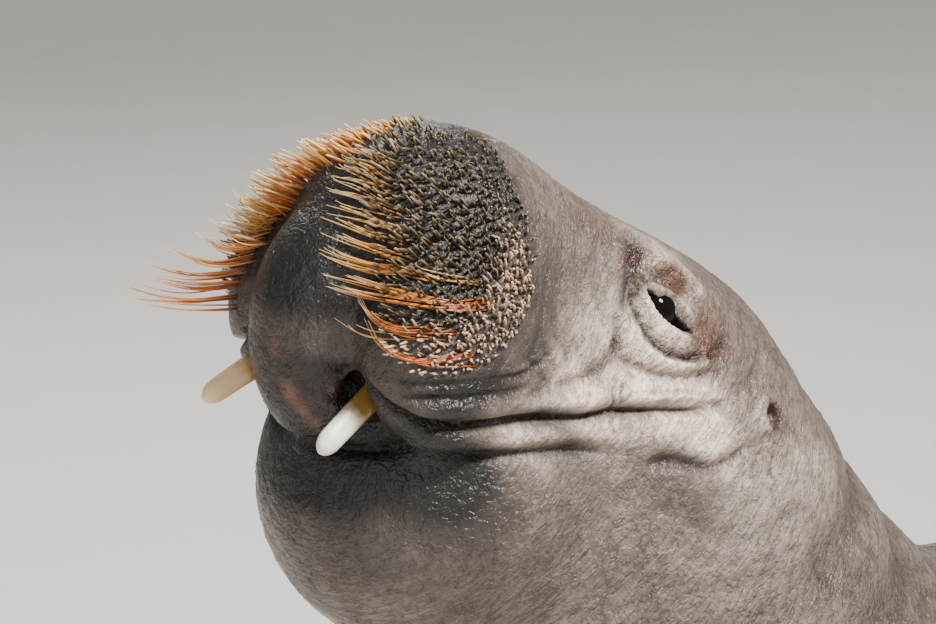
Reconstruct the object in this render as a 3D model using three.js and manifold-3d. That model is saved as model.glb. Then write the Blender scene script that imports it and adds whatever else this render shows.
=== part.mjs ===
// A young walrus, life size, lying on its belly with its head thrown back. Millimetres, +Z up.
// It faces -Y, its left side is +X. The body is one field of blended lumps, meshed and parted by thin cuts.
import * as THREE from "three";
import { mergeVertices } from "three/addons/utils/BufferGeometryUtils.js";
import Module from "manifold-3d";

const wasm = await Module();
wasm.setup();

// Driving sizes
const EYE_HEIGHT = 770; // eyes over the floor
const EYE_FORWARD = 594; // eyes in front of the middle of the length
const HEAD_PITCH = 50; // degrees, the muzzle's rise over level
const GAP = 0.3; // between neighbours
const EYE_X = 59;
const EYE_RADIUS = 17;
const TUSK_ROOT = [40, 106, -122];
const TUSK_EXIT = [45.5, 113.5, -155];
const TUSK_MIDDLE = [52.5, 122.5, -188];
const TUSK_TIP = [57, 128.5, -214];
const TUSK_RADII = [9, 7.2];
const TUSK_BLUNT = 0.86; // share of its length where the tip starts to round off
const TUSK_FLAT = 0.78; // its width over its depth
const WHISKER_ROWS = 10; // from the lip up
const WHISKER_COLUMNS = 11; // from the middle round to the side
const WHISKER_LONG = 82; // the longest, low in front
const WHISKER_SHORT = 15; // the shortest, at the side and top
const WHISKER_ROOT = 1.5; // radius at the skin
const WHISKER_TIP = 0.4;
const WHISKER_SUNK = 11;
const SEED = 7;

// Lumps of the head in its own frame: x to its left, forward along the muzzle, up from the eyes
const HEAD = [
  { c: [0, -50, -54], r: [84, 128, 92], pitch: 0, k: 30 }, // skull
  { c: [0, 62, -46], r: [54, 120, 62], pitch: -16, k: 40 }, // bridge of the nose
  { c: [0, 106, -84], r: [74, 88, 86], pitch: 0, k: 36 }, // muzzle
];
const HEAD_PAIRS = [
  { c: [50, 102, -108], r: [46, 68, 72], roll: 24, mid: 16, k: 12 }, // whisker pad
  { c: [44, 30, -104], r: [42, 95, 60], roll: 0, mid: 40, k: 24 }, // cheek
  { c: [38, -4, 10], r: [24, 36, 18], roll: 0, mid: 20, k: 20 }, // brow
];
const CHIN = { c: [0, 139, -145], r: [46, 70, 42], pitch: 47, k: 8 };
const THROAT = { forward: 126, up: -98, r: 102, k: 14 };
const NECK_BLEND = [40, 110]; // at the nape and low on the throat
// Folds in the head's frame: points, half width, and depth (below zero for a raised roll)
const FOLDS = [
  // mouth line
  { at: [[73, 125, -172], [88, 109, -167], [97, 85, -148], [94, 62, -128], [89, 38, -107]], w: 4.5, d: 7 },
  { at: [[89, 38, -107], [88, 14, -88], [94, -12, -61], [100, -36, -40]], w: 4.5, d: 6 },
  // crease under the lower lip, and the lip's roll
  { at: [[30, 97, -196], [50, 91, -185], [76, 86, -174], [89, 65, -156], [94, 37, -130]], w: 4.5, d: 6 },
  { at: [[69, 99, -178], [91, 88, -164], [92, 60, -141], [91, 25, -111], [93, -8, -83]], w: 7, d: -5 },
  { at: [[66, 22, 6], [68, 4, 11], [68, -16, 11], [72, -32, 4]], w: 5, d: -6 }, // upper lid
  { at: [[70, 22, -2], [76, 6, -11], [78, -14, -12], [78, -32, -3]], w: 5, d: -5 }, // lower lid
  { at: [[84, 26, -16], [88, 6, -28], [90, -22, -30], [92, -48, -16]], w: 6, d: 5 }, // bag under the eye
  { at: [[98, -82, 6], [101, -78, -4], [101, -84, -15]], w: 4.5, d: -5 }, // ear's rim
];
// Pits in the head's frame: centre, radii, pitch
const PITS = [
  { c: [78, -2, 0], r: [14, 19, 6.4], pitch: -4 }, // slit of the lids
  { c: [103, -90, -4], r: [15, 6, 7.5], pitch: 0 }, // ear
  { c: [15, 146, -4], r: [4, 13, 13], pitch: 0, yaw: 28 }, // nostril
  { c: [44, 118, -166], r: [15, 18, 22], pitch: 0 }, // round the tusk
];
// The trunk: forward of the eyes, height over the floor, radius up and down, radius sideways
const SPINE = [
  [-10, EYE_HEIGHT - 122, 132, 112],
  [-66, EYE_HEIGHT - 270, 168, 150],
  [-140, EYE_HEIGHT - 400, 210, 206],
  [-300, 268, 240, 248],
  [-520, 238, 244, 272],
  [-780, 205, 212, 246],
  [-1020, 158, 165, 192],
  [-1220, 100, 106, 128],
  [-1370, 58, 54, 66],
  [-1460, 42, 24, 34],
];
const SPINE_STEPS = 28;
// Limbs: forward of the eyes and height over the floor, with radii
const SHOULDER = { at: [160, -205, 290], r: 112 };
const ELBOW = { at: [276, -246, 164], r: 80 };
const WRIST = { at: [330, -236, 44], r: 46 };
const HAND = { heading: -14, spread: 78, digits: [222, 220, 206, 184, 158], r: [42, 14], web: 17 };
const HIP = { at: [80, -1265, 90], r: 74 };
const ANKLE = { at: [140, -1350, 40], r: 38 };
const FOOT = { heading: 24, spread: 80, digits: [225, 205, 196, 205, 225], r: [34, 12], web: 14 };

const rad = THREE.MathUtils.degToRad;
const CP = Math.cos(rad(HEAD_PITCH));
const SP = Math.sin(rad(HEAD_PITCH));
const headToWorld = ([x, f, u]) => [x, -(EYE_FORWARD + f * CP - u * SP), EYE_HEIGHT + f * SP + u * CP];
const worldToHead = ([x, y, z]) => {
  const [f, u] = [-y - EYE_FORWARD, z - EYE_HEIGHT];
  return [x, f * CP + u * SP, -f * SP + u * CP];
};
const bodyToWorld = ([x, f, z]) => [x, -(EYE_FORWARD + f), z];
const headTurn = ([x, f, u]) => [x, -(f * CP - u * SP), f * SP + u * CP];

const lerp = (a, b, t) => a + (b - a) * t;
const clamp01 = (t) => Math.min(1, Math.max(0, t));
const plus = (p, q, s = 1) => p.map((v, i) => v + q[i] * s);
const unit = (p) => p.map((v) => v / Math.hypot(...p));

function smin(a, b, k) {
  const h = Math.max(k - Math.abs(a - b), 0) / k;
  return Math.min(a, b) - h * h * k * 0.25;
}

// Distance to an ellipsoid; pitch lifts its front, roll turns its +x side up, yaw turns its front to +x
function lump(x, f, u, s) {
  let px = x - s.c[0];
  let pf = f - s.c[1];
  let pu = u - s.c[2];
  if (s.yaw) {
    const c = Math.cos(rad(s.yaw));
    const n = Math.sin(rad(s.yaw));
    [px, pf] = [px * c - pf * n, px * n + pf * c];
  }
  if (s.pitch) {
    const c = Math.cos(rad(s.pitch));
    const n = Math.sin(rad(s.pitch));
    [pf, pu] = [pf * c + pu * n, -pf * n + pu * c];
  }
  if (s.roll) {
    const c = Math.cos(rad(s.roll));
    const n = Math.sin(rad(s.roll));
    [px, pu] = [px * c + pu * n, -px * n + pu * c];
  }
  const a = px / s.r[0];
  const b = pf / s.r[1];
  const c = pu / s.r[2];
  const k0 = Math.sqrt(a * a + b * b + c * c);
  const k1 = Math.sqrt((a / s.r[0]) ** 2 + (b / s.r[1]) ** 2 + (c / s.r[2]) ** 2);
  return (k0 * (k0 - 1)) / Math.max(k1, 1e-9);
}

// How far along a-b the point lies (0 to 1) and how far off it
function along(p, a, b) {
  const d = [b[0] - a[0], b[1] - a[1], b[2] - a[2]];
  const q = [p[0] - a[0], p[1] - a[1], p[2] - a[2]];
  const l = d[0] * d[0] + d[1] * d[1] + d[2] * d[2];
  const t = Math.min(1, Math.max(0, (q[0] * d[0] + q[1] * d[1] + q[2] * d[2]) / l));
  return [t, Math.hypot(q[0] - t * d[0], q[1] - t * d[1], q[2] - t * d[2])];
}

function limb(p, a, b, ra, rb) {
  const [t, off] = along(p, a, b);
  return off - (ra + (rb - ra) * t);
}

function foldDepth(p) {
  let sum = 0;
  for (const fold of FOLDS) {
    let best = 1e9;
    for (let i = 1; i < fold.at.length; i += 1) {
      best = Math.min(best, along(p, fold.at[i - 1], fold.at[i])[1]);
    }
    const t = best / (fold.w * 1.6);
    if (t < 3) sum += fold.d * Math.exp(-t * t);
  }
  return sum;
}

function headField(x, f, u) {
  const ax = Math.abs(x);
  let d = 1e9;
  for (const s of HEAD) d = d > 1e8 ? lump(x, f, u, s) : smin(d, lump(x, f, u, s), s.k);
  for (const s of HEAD_PAIRS) {
    const both = smin(lump(x, f, u, s), lump(-x, f, u, s), s.mid);
    d = smin(d, both, s.k);
  }
  d = smin(d, lump(x, f, u, CHIN), CHIN.k);
  return d;
}

// The trunk's line as a smooth run of many short stretches
const TRUNK = (() => {
  const line = new THREE.CatmullRomCurve3(SPINE.map(([f, z]) => new THREE.Vector3(0, f, z)));
  const girth = new THREE.CatmullRomCurve3(SPINE.map(([, , r, w]) => new THREE.Vector3(r, w, 0)));
  return Array.from({ length: SPINE_STEPS + 1 }, (_, i) => {
    const [p, g] = [line.getPoint(i / SPINE_STEPS), girth.getPoint(i / SPINE_STEPS)];
    return [p.y, p.z, g.x, g.y];
  });
})();

function trunkField(x, f, z) {
  let d = 1e9;
  for (let i = 1; i < TRUNK.length; i += 1) {
    const [fa, za, ra, wa] = TRUNK[i - 1];
    const [fb, zb, rb, wb] = TRUNK[i];
    const df = fb - fa;
    const dz = zb - za;
    const t = Math.min(1, Math.max(0, ((f - fa) * df + (z - za) * dz) / (df * df + dz * dz)));
    const r = ra + (rb - ra) * t;
    const w = wa + (wb - wa) * t;
    const one = Math.hypot((x * r) / w, f - fa - t * df, z - za - t * dz) - r;
    d = d > 1e8 ? one : smin(d, one, 12);
  }
  return d;
}

// Digits that spread from the wrist or ankle over the floor, with a web between them
function fan(p, root, plan) {
  const n = plan.digits.length;
  let d = 1e9;
  let mean = 0;
  for (let i = 0; i < n; i += 1) {
    const a = rad(plan.heading + plan.spread * (i / (n - 1) - 0.5));
    const reach = plan.digits[i];
    mean += reach / n;
    const tip = [root[0] + Math.cos(a) * reach, root[1] + Math.sin(a) * reach, plan.r[1] * 0.9];
    const one = limb(p, root, tip, plan.r[0], plan.r[1]);
    d = d > 1e8 ? one : smin(d, one, 30);
  }
  const a = rad(plan.heading);
  const half = mean * 0.55;
  const c = [root[0] + Math.cos(a) * mean * 0.5, root[1] + Math.sin(a) * mean * 0.5, plan.web];
  return smin(d, lump(p[0], p[1], p[2], { c, r: [half, half, plan.web] }), 20);
}

function armField(p) {
  let d = limb(p, SHOULDER.at, ELBOW.at, SHOULDER.r, ELBOW.r);
  d = smin(d, limb(p, ELBOW.at, WRIST.at, ELBOW.r, WRIST.r), 40);
  return smin(d, fan(p, WRIST.at, HAND), 40);
}

function legField(p) {
  const d = limb(p, HIP.at, ANKLE.at, HIP.r, ANKLE.r);
  return smin(d, fan(p, ANKLE.at, FOOT), 30);
}

// The body without folds and pits: below zero inside
function plainSkin(x, y, z) {
  const f = -y - EYE_FORWARD;
  const up = z - EYE_HEIGHT;
  let d = trunkField(x, f, z);
  if (z > EYE_HEIGHT - 420) {
    const throat = Math.hypot(x, f - THROAT.forward, up - THROAT.up) - THROAT.r;
    const blend = lerp(...NECK_BLEND, clamp01((-110 - up) / 120));
    d = smin(smin(headField(x, f * CP + up * SP, -f * SP + up * CP), throat, THROAT.k), d, blend);
  }
  if (z < 460) {
    const p = [Math.abs(x), f, z];
    if (f > -620) d = smin(d, armField(p), 50);
    if (f < -900) d = smin(d, legField(p), 40);
  }
  return Math.max(d, -z);
}

function skin(x, y, z) {
  let d = plainSkin(x, y, z);
  if (z > EYE_HEIGHT - 260 && Math.abs(d) < 40) {
    const h = worldToHead([Math.abs(x), y, z]);
    d += foldDepth(h);
    for (const s of PITS) d = -smin(-d, lump(...h, s), 5);
  }
  return d;
}

function gradient(field, p, e = 0.6) {
  const [x, y, z] = p;
  return [
    (field(x + e, y, z) - field(x - e, y, z)) / (2 * e),
    (field(x, y + e, z) - field(x, y - e, z)) / (2 * e),
    (field(x, y, z + e) - field(x, y, z - e)) / (2 * e),
  ];
}

function normalAt(field, p) {
  const g = gradient(field, p);
  const l = Math.hypot(...g) || 1;
  return g.map((v) => v / l);
}

// Moves a point onto the field's zero level
function settle(field, p, steps = 3) {
  let q = p;
  for (let i = 0; i < steps; i += 1) {
    const d = Math.max(-15, Math.min(15, field(...q)));
    const g = gradient(field, q);
    const l = Math.max(g[0] ** 2 + g[1] ** 2 + g[2] ** 2, 0.05);
    q = [q[0] - (g[0] * d) / l, q[1] - (g[1] * d) / l, q[2] - (g[2] * d) / l];
  }
  return q;
}

for (const fold of FOLDS) {
  fold.at = fold.at.map((p) => worldToHead(settle(plainSkin, headToWorld(p), 6)));
}

// The skin inside a box: lo and hi in world axes
function boxed(lo, hi) {
  const c = lo.map((v, i) => (v + hi[i]) / 2);
  const h = lo.map((v, i) => (hi[i] - v) / 2);
  return (x, y, z) => {
    const b = Math.max(Math.abs(x - c[0]) - h[0], Math.abs(y - c[1]) - h[1], Math.abs(z - c[2]) - h[2]);
    return Math.max(skin(x, y, z), b);
  };
}

// True where two sheets of a mesh meet in one edge
function pinched(faces) {
  const uses = new Map();
  for (const face of faces) {
    face.forEach((a, i) => {
      const b = face[(i + 1) % 3];
      const key = a < b ? a * 1e6 + b : b * 1e6 + a;
      uses.set(key, (uses.get(key) || 0) + 1);
    });
  }
  return [...uses.values()].some((n) => n > 2);
}

// A closed mesh of field = 0 on a grid of that step: one vertex in each cell the surface passes
function netted(field, lo, hi, step, slip) {
  const n = lo.map((v, i) => Math.ceil((hi[i] - v) / step) + 4);
  const at = (i, axis) => lo[axis] + (i - 1 - slip[axis]) * step;
  const [nx, ny, nz] = n;
  const value = new Float64Array(nx * ny * nz);
  const id = (i, j, k) => (i * ny + j) * nz + k;
  for (let i = 0; i < nx; i += 1) {
    for (let j = 0; j < ny; j += 1) {
      for (let k = 0; k < nz; k += 1) value[id(i, j, k)] = field(at(i, 0), at(j, 1), at(k, 2));
    }
  }
  const points = [];
  const cell = new Int32Array(nx * ny * nz).fill(-1);
  const corners = [0, 1, 2, 3, 4, 5, 6, 7].map((c) => [c & 1, (c >> 1) & 1, c >> 2]);
  for (let i = 0; i + 1 < nx; i += 1) {
    for (let j = 0; j + 1 < ny; j += 1) {
      for (let k = 0; k + 1 < nz; k += 1) {
        const v = corners.map(([a, b, c]) => value[id(i + a, j + b, k + c)]);
        const sum = [0, 0, 0];
        let count = 0;
        for (let a = 0; a < 8; a += 1) {
          for (const bit of [1, 2, 4]) {
            const b = a | bit;
            if (b !== a && v[a] < 0 !== v[b] < 0) {
              const t = v[a] / (v[a] - v[b]);
              corners[a].forEach((w, axis) => {
                sum[axis] += w + t * (corners[b][axis] - w);
              });
              count += 1;
            }
          }
        }
        if (count) {
          cell[id(i, j, k)] = points.length;
          points.push(sum.map((s, axis) => at([i, j, k][axis], axis) + (step * s) / count));
        }
      }
    }
  }
  const faces = [];
  for (let i = 1; i + 1 < nx; i += 1) {
    for (let j = 1; j + 1 < ny; j += 1) {
      for (let k = 1; k + 1 < nz; k += 1) {
        const here = value[id(i, j, k)] < 0;
        for (let axis = 0; axis < 3; axis += 1) {
          const s = [0, 0, 0];
          s[axis] = 1;
          if (here === value[id(i + s[0], j + s[1], k + s[2])] < 0) continue;
          const u = [0, 0, 0];
          const w = [0, 0, 0];
          u[(axis + 1) % 3] = 1;
          w[(axis + 2) % 3] = 1;
          const ring = [[1, 1], [0, 1], [0, 0], [1, 0]].map(([a, b]) =>
            cell[id(i - a * u[0] - b * w[0], j - a * u[1] - b * w[1], k - a * u[2] - b * w[2])]);
          if (!here) ring.reverse();
          faces.push([ring[0], ring[1], ring[2]], [ring[0], ring[2], ring[3]]);
        }
      }
    }
  }
  return { points, faces };
}

// Slides the vertices towards the middle of their neighbours, along the surface
function relaxed(mesh, field, rounds) {
  const near = neighbours(mesh.points.length, mesh.faces);
  for (let round = 0; round < rounds; round += 1) {
    mesh.points = mesh.points.map((p, i) => {
      const mean = [0, 0, 0];
      for (const j of near[i]) mesh.points[j].forEach((v, axis) => { mean[axis] += v / near[i].size; });
      const n = normalAt(field, p);
      const move = mean.map((v, axis) => v - p[axis]);
      const off = move[0] * n[0] + move[1] * n[1] + move[2] * n[2];
      return settle(field, p.map((v, axis) => v + 0.6 * (move[axis] - off * n[axis])), 2);
    });
  }
}

// Splits each edge longer than the wanted size there; neighbours split it alike, so the mesh stays closed
function refined(mesh, field, size, rounds) {
  for (let round = 0; round < rounds; round += 1) {
    const middle = new Map();
    const cut = (a, b) => {
      const key = a < b ? a * 1e6 + b : b * 1e6 + a;
      if (!middle.has(key)) {
        const p = mesh.points[a];
        const q = mesh.points[b];
        const m = p.map((v, axis) => (v + q[axis]) / 2);
        const long = Math.hypot(p[0] - q[0], p[1] - q[1], p[2] - q[2]) > 1.5 * size(m);
        middle.set(key, long ? mesh.points.push(settle(field, m)) - 1 : -1);
      }
      return middle.get(key);
    };
    const next = [];
    for (const [a, b, c] of mesh.faces) {
      const m = [cut(a, b), cut(b, c), cut(c, a)];
      const v = [a, b, c];
      const count = m.filter((i) => i >= 0).length;
      if (count === 0) next.push(v);
      if (count === 3) next.push([a, m[0], m[2]], [m[0], b, m[1]], [m[2], m[1], c], m);
      if (count === 1) {
        const s = m.findIndex((i) => i >= 0);
        next.push([v[s], m[s], v[(s + 2) % 3]], [m[s], v[(s + 1) % 3], v[(s + 2) % 3]]);
      }
      if (count === 2) {
        const s = m.findIndex((i) => i < 0);
        const [p, q, r] = [v[s], v[(s + 1) % 3], v[(s + 2) % 3]];
        const [mq, mr] = [m[(s + 1) % 3], m[(s + 2) % 3]];
        next.push([p, q, mq], [p, mq, mr], [mr, mq, r]);
      }
    }
    mesh.faces = next;
    relaxed(mesh, field, 1);
  }
}

function solidOf(points, faces) {
  return new wasm.Manifold(new wasm.Mesh({
    numProp: 3,
    vertProperties: new Float32Array(points.flat()),
    triVerts: new Uint32Array(faces.flat()),
  }));
}

// A three.js geometry as a solid
function solidFrom(geometry) {
  const bare = geometry.clone();
  for (const name of ["normal", "uv"]) bare.deleteAttribute(name);
  const merged = mergeVertices(bare, 1e-4);
  return new wasm.Manifold(new wasm.Mesh({
    numProp: 3,
    vertProperties: new Float32Array(merged.attributes.position.array),
    triVerts: new Uint32Array(merged.index.array),
  }));
}

function largest(solid) {
  const parts = solid.decompose();
  return parts.reduce((a, b) => (b.volume() > a.volume() ? b : a));
}

// Everything on the far side of a plane through a point, as a big block
function beyond(point, normal, shift = 0) {
  const big = 3000;
  const block = new THREE.BoxGeometry(big, big, big);
  block.translate(0, 0, big / 2 + shift);
  const n = new THREE.Vector3(...normal).normalize();
  block.applyQuaternion(new THREE.Quaternion().setFromUnitVectors(new THREE.Vector3(0, 0, 1), n));
  block.translate(...point);
  return solidFrom(block);
}

// Parts a solid by a region, with the gap between the two
function parted(solid, region) {
  return [largest(solid.intersect(region(GAP / 2))), largest(solid.subtract(region(-GAP / 2)))];
}

// A ball, or an ellipsoid of the head's frame, grown by some millimetres
function headBall(s, grow, across = 24) {
  const ball = new THREE.SphereGeometry(1, across, across / 2);
  ball.scale(s.r[0] + grow, s.r[1] + grow, s.r[2] + grow);
  ball.rotateX(rad(s.pitch || 0));
  const place = new THREE.Matrix4().makeBasis(
    new THREE.Vector3(-1, 0, 0),
    new THREE.Vector3(...headTurn([0, 1, 0])),
    new THREE.Vector3(...headTurn([0, 0, 1])),
  );
  ball.applyMatrix4(new THREE.Matrix4().makeTranslation(...headToWorld(s.c)).multiply(place));
  return solidFrom(ball);
}

// How fine the mesh is, by place: fine round the eyes, mouth, nostrils and ears
const FINE = [
  { at: [76, -2, 0], r: 24, size: 5 },
  { at: [101, -86, -4], r: 14, size: 6 },
  { at: [15, 146, -4], r: 16, size: 6 },
  { at: [50, 118, -166], r: 24, size: 10 },
  { at: [75, 85, -158], r: 20, size: 13 },
  { at: [88, 45, -118], r: 20, size: 13 },
  { at: [92, 8, -82], r: 20, size: 13 },
];
const HEAD_SIZE = 23;
const HEAD_STEP = 22;
const TORSO_STEP = 62;
const NECK_STEP = 46;
const FLIPPER_STEP = 30;
const TAIL_STEP = 24;
const MUZZLE_BACK = 78;
const NOSE = { half: 24, low: -52 };
const PAD_MIDDLE = [44, 100, -106];
const FORWARD = [CP, -SP]; // level and ahead, in the head's frame

function headSize([x, y, z]) {
  const f = -y - EYE_FORWARD;
  const up = z - EYE_HEIGHT;
  const h = [Math.abs(x), f * CP + up * SP, -f * SP + up * CP];
  let size = HEAD_SIZE + Math.max(0, -h[1] - 100) * 0.15;
  for (const s of FINE) {
    const off = Math.hypot(h[0] - s.at[0], h[1] - s.at[1], h[2] - s.at[2]);
    size = Math.min(size, s.size + Math.max(0, off - s.r) * 0.35);
  }
  return size;
}

function flipperSize([x, y, z]) {
  return z < 40 && Math.abs(x) > 200 ? 19 : 40;
}

// One stretch of the body as a solid, between forward and height limits, meshed at one step
function stretch(lo, hi, step, size, rounds) {
  const [a, b] = [bodyToWorld(lo), bodyToWorld(hi)];
  const low = a.map((v, i) => Math.min(v, b[i]));
  const high = a.map((v, i) => Math.max(v, b[i]));
  const field = boxed(low, high);
  let mesh = netted(field, low, high, step, [0, 0, 0]);
  for (let i = 1; i < 30 && pinched(mesh.faces); i += 1) {
    mesh = netted(field, low, high, step, [(i * 0.37) % 1, (i * 0.61) % 1, ((i * 0.13) % 1) * 0.25]);
  }
  mesh.points = mesh.points.map((q) => settle(field, q));
  relaxed(mesh, field, 2);
  if (size) refined(mesh, field, size, rounds);
  return largest(solidOf(mesh.points, mesh.faces));
}

// Cuts across the body: a point (forward of the eyes, height) and the way it faces, in the body's frame
const CUTS = {
  neck: { at: [0, 20, EYE_HEIGHT - 140], n: [0, 0.28, 0.96] },
  chest: { at: [0, -95, EYE_HEIGHT - 375], n: [0, 0.62, 0.78] },
  tail: { at: [0, -1385, 60], n: [0, -1, 0] },
  arm: { at: [262, -200, 250], n: [1, 0.3, -0.35], room: [-400, -30] },
  leg: { at: [128, -1310, 70], n: [0.8, -0.3, -0.5], room: [-1640, -1150] },
};

function cut(name, mirror = false) {
  const { at, n, room } = CUTS[name];
  const s = mirror ? -1 : 1;
  const point = bodyToWorld([at[0] * s, at[1], at[2]]);
  const normal = [n[0] * s, -n[1], n[2]];
  if (!room) return (shift) => beyond(point, normal, shift);
  return (shift) => {
    const box = new THREE.BoxGeometry(1500, room[1] - room[0] - 2 * shift, 1500);
    box.translate(...bodyToWorld([0, (room[0] + room[1]) / 2, 0]));
    return beyond(point, normal, shift).intersect(solidFrom(box));
  };
}

function headCut(at, n, mirror = false) {
  const s = mirror ? -1 : 1;
  return (shift) => beyond(headToWorld([at[0] * s, at[1], at[2]]), headTurn([n[0] * s, n[1], n[2]]), shift);
}

const both = (a, b) => (shift) => a(shift).intersect(b(shift));

// A tusk: an oval horn swept from its socket to a blunt tip, grown by some millimetres for its hole
function tusk(side, grow) {
  const path = [TUSK_ROOT, TUSK_EXIT, TUSK_MIDDLE, TUSK_TIP];
  const world = path.map(([x, f, u]) => new THREE.Vector3(...headToWorld([x * side, f, u])));
  const curve = new THREE.CatmullRomCurve3(world);
  const rings = 8;
  const round = 10;
  const across = new THREE.Vector3(side, 0, 0);
  const points = [];
  const faces = [];
  for (let i = 0; i <= rings; i += 1) {
    const t = i / rings;
    const c = curve.getPoint(t);
    const way = curve.getTangent(t);
    if (i === 0) c.addScaledVector(way, -grow);
    const a = across.clone().addScaledVector(way, -across.dot(way)).normalize();
    const b = new THREE.Vector3().crossVectors(way, a);
    const blunt = t < TUSK_BLUNT ? 1 : Math.sqrt(Math.max(1 - ((t - TUSK_BLUNT) / 0.145) ** 2, 0.02));
    const r = lerp(...TUSK_RADII, t) * blunt;
    for (let j = 0; j < round; j += 1) {
      const w = (2 * Math.PI * j) / round;
      const p = c.clone().addScaledVector(a, Math.cos(w) * (r * TUSK_FLAT + grow));
      points.push(p.addScaledVector(b, Math.sin(w) * (r + grow)).toArray());
    }
  }
  for (let i = 0; i < rings; i += 1) {
    for (let j = 0; j < round; j += 1) {
      const [a, b] = [i * round + j, i * round + ((j + 1) % round)];
      faces.push([a, b, b + round], [a, b + round, a + round]);
    }
  }
  points.push(curve.getPoint(0).addScaledVector(curve.getTangent(0), -grow).toArray());
  points.push(curve.getPoint(1).addScaledVector(curve.getTangent(1), 0.4 + grow).toArray());
  for (let j = 0; j < round; j += 1) {
    const k = (j + 1) % round;
    faces.push([k, j, points.length - 2], [rings * round + j, rings * round + k, points.length - 1]);
  }
  const solid = solidOf(points, faces);
  return solid.volume() > 0 ? solid : solidOf(points, faces.map(([a, b, c]) => [a, c, b]));
}

function eye(side, grow) {
  return headBall({ c: [EYE_X * side, -2, 0], r: [EYE_RADIUS, EYE_RADIUS, EYE_RADIUS] }, grow, 14);
}

// A seeded run of numbers from 0 to 1
let seed = SEED;
function chance() {
  seed = (seed * 16807) % 2147483647;
  return seed / 2147483647;
}

const headSkin = (p) => skin(...headToWorld(p));

// Where a ray from inside the pad leaves the skin, in the head's frame
function exitPoint(from, way) {
  let near = 10;
  let far = 150;
  for (let i = 0; i < 24; i += 1) {
    const mid = (near + far) / 2;
    if (headSkin(plus(from, way, mid)) < 0) near = mid;
    else far = mid;
  }
  return plus(from, way, near);
}

function headNormal(p) {
  const e = 1.5;
  const axes = [[1, 0, 0], [0, 1, 0], [0, 0, 1]];
  return unit(axes.map((axis) => headSkin(plus(p, axis, e)) - headSkin(plus(p, axis, -e))));
}

function tuskDistance(p) {
  const q = [Math.abs(p[0]), p[1], p[2]];
  return Math.min(along(q, TUSK_ROOT, TUSK_EXIT)[1], along(q, TUSK_EXIT, TUSK_TIP)[1]);
}

// The line of one whisker, or nothing where it would touch the lip, a tusk or the other side
function whiskerLine(side, a, b) {
  const way = [Math.sin(a) * Math.cos(b) * side, Math.cos(a) * Math.cos(b), Math.sin(b)];
  const root = exitPoint([PAD_MIDDLE[0] * side, PAD_MIDDLE[1], PAD_MIDDLE[2]], way);
  const inNose = Math.abs(root[0]) < NOSE.half + 4 && root[2] > NOSE.low - 6;
  const low = clamp01((0.35 - b) / 0.95);
  const front = clamp01((1.45 - Math.abs(a)) / 1.3);
  const inLip = lump(...root, CHIN) < 6 || tuskDistance(root) < 17;
  if (inNose || inLip || root[1] < MUZZLE_BACK + 10) return null;
  const length = WHISKER_SHORT + 20 * front + (WHISKER_LONG - WHISKER_SHORT - 20) * low * front ** 0.7;
  const n = headNormal(root);
  for (const lift of [0.5, 0.8, 1.2]) {
    const start = unit(plus([side * -0.06, FORWARD[0], FORWARD[1]], n, lift));
    const end = unit(plus([side * -0.02, FORWARD[0], FORWARD[1] + 0.35], n, lift * 0.3));
    const line = [plus(root, start, -WHISKER_SUNK)];
    let p = root;
    line.push(plus(root, start, length * 0.25));
    for (let i = 1; i <= 6; i += 1) {
      const turn = i / 6;
      const way = unit(start.map((v, k) => lerp(v, end[k], turn)));
      p = plus(p, way, (length * (0.9 + 0.2 * chance())) / 6);
      if (i === 4 || i === 6) line.push(p);
      const off = i * (length / 6) > 9 ? headSkin(p) : 9;
      if (off < 3.2 || tuskDistance(p) < 13 || p[0] * side < 3) {
        line.length = 0;
        break;
      }
    }
    if (line.length) return line;
  }
  return null;
}

// A three-sided bent spine along a line of points
function spine(line, root, tip) {
  const at = line.map((p) => new THREE.Vector3(...headToWorld(p)));
  const points = [];
  const faces = [];
  const last = at.length - 1;
  at.slice(0, last).forEach((c, i) => {
    const way = at[i + 1].clone().sub(at[Math.max(0, i - 1)]).normalize();
    const u = new THREE.Vector3(way.z, way.x, way.y).cross(way).normalize();
    const v = new THREE.Vector3().crossVectors(way, u);
    const r = lerp(root, tip, i / last);
    for (let j = 0; j < 3; j += 1) {
      const w = (2 * Math.PI * j) / 3;
      const out = u.clone().multiplyScalar(Math.cos(w) * r).addScaledVector(v, Math.sin(w) * r);
      points.push(c.clone().add(out).toArray());
    }
    for (let j = 0; i > 0 && j < 3; j += 1) {
      const [a, b] = [3 * i - 3 + j, 3 * i - 3 + ((j + 1) % 3)];
      faces.push([a, b, b + 3], [a, b + 3, a + 3]);
    }
  });
  points.push(at[last].toArray());
  const n = points.length - 1;
  faces.push([2, 1, 0], [n - 3, n - 2, n], [n - 2, n - 1, n], [n - 1, n - 3, n]);
  const solid = solidOf(points, faces);
  return solid.volume() > 0 ? solid : solidOf(points, faces.map(([a, b, c]) => [a, c, b]));
}

function whiskers(side) {
  const all = [];
  for (let row = 0; row < WHISKER_ROWS; row += 1) {
    for (let column = 0; column < WHISKER_COLUMNS; column += 1) {
      const a = lerp(-0.8, 1.42, (column + 0.5 * (row % 2) + 0.5 * chance()) / WHISKER_COLUMNS);
      const b = lerp(-0.88, 0.95, (row + 0.35 + 0.3 * chance()) / WHISKER_ROWS);
      const line = whiskerLine(side, a, b);
      if (line) all.push(spine(line, WHISKER_ROOT, WHISKER_TIP));
    }
  }
  return all;
}

const nodes = new Map();

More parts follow.
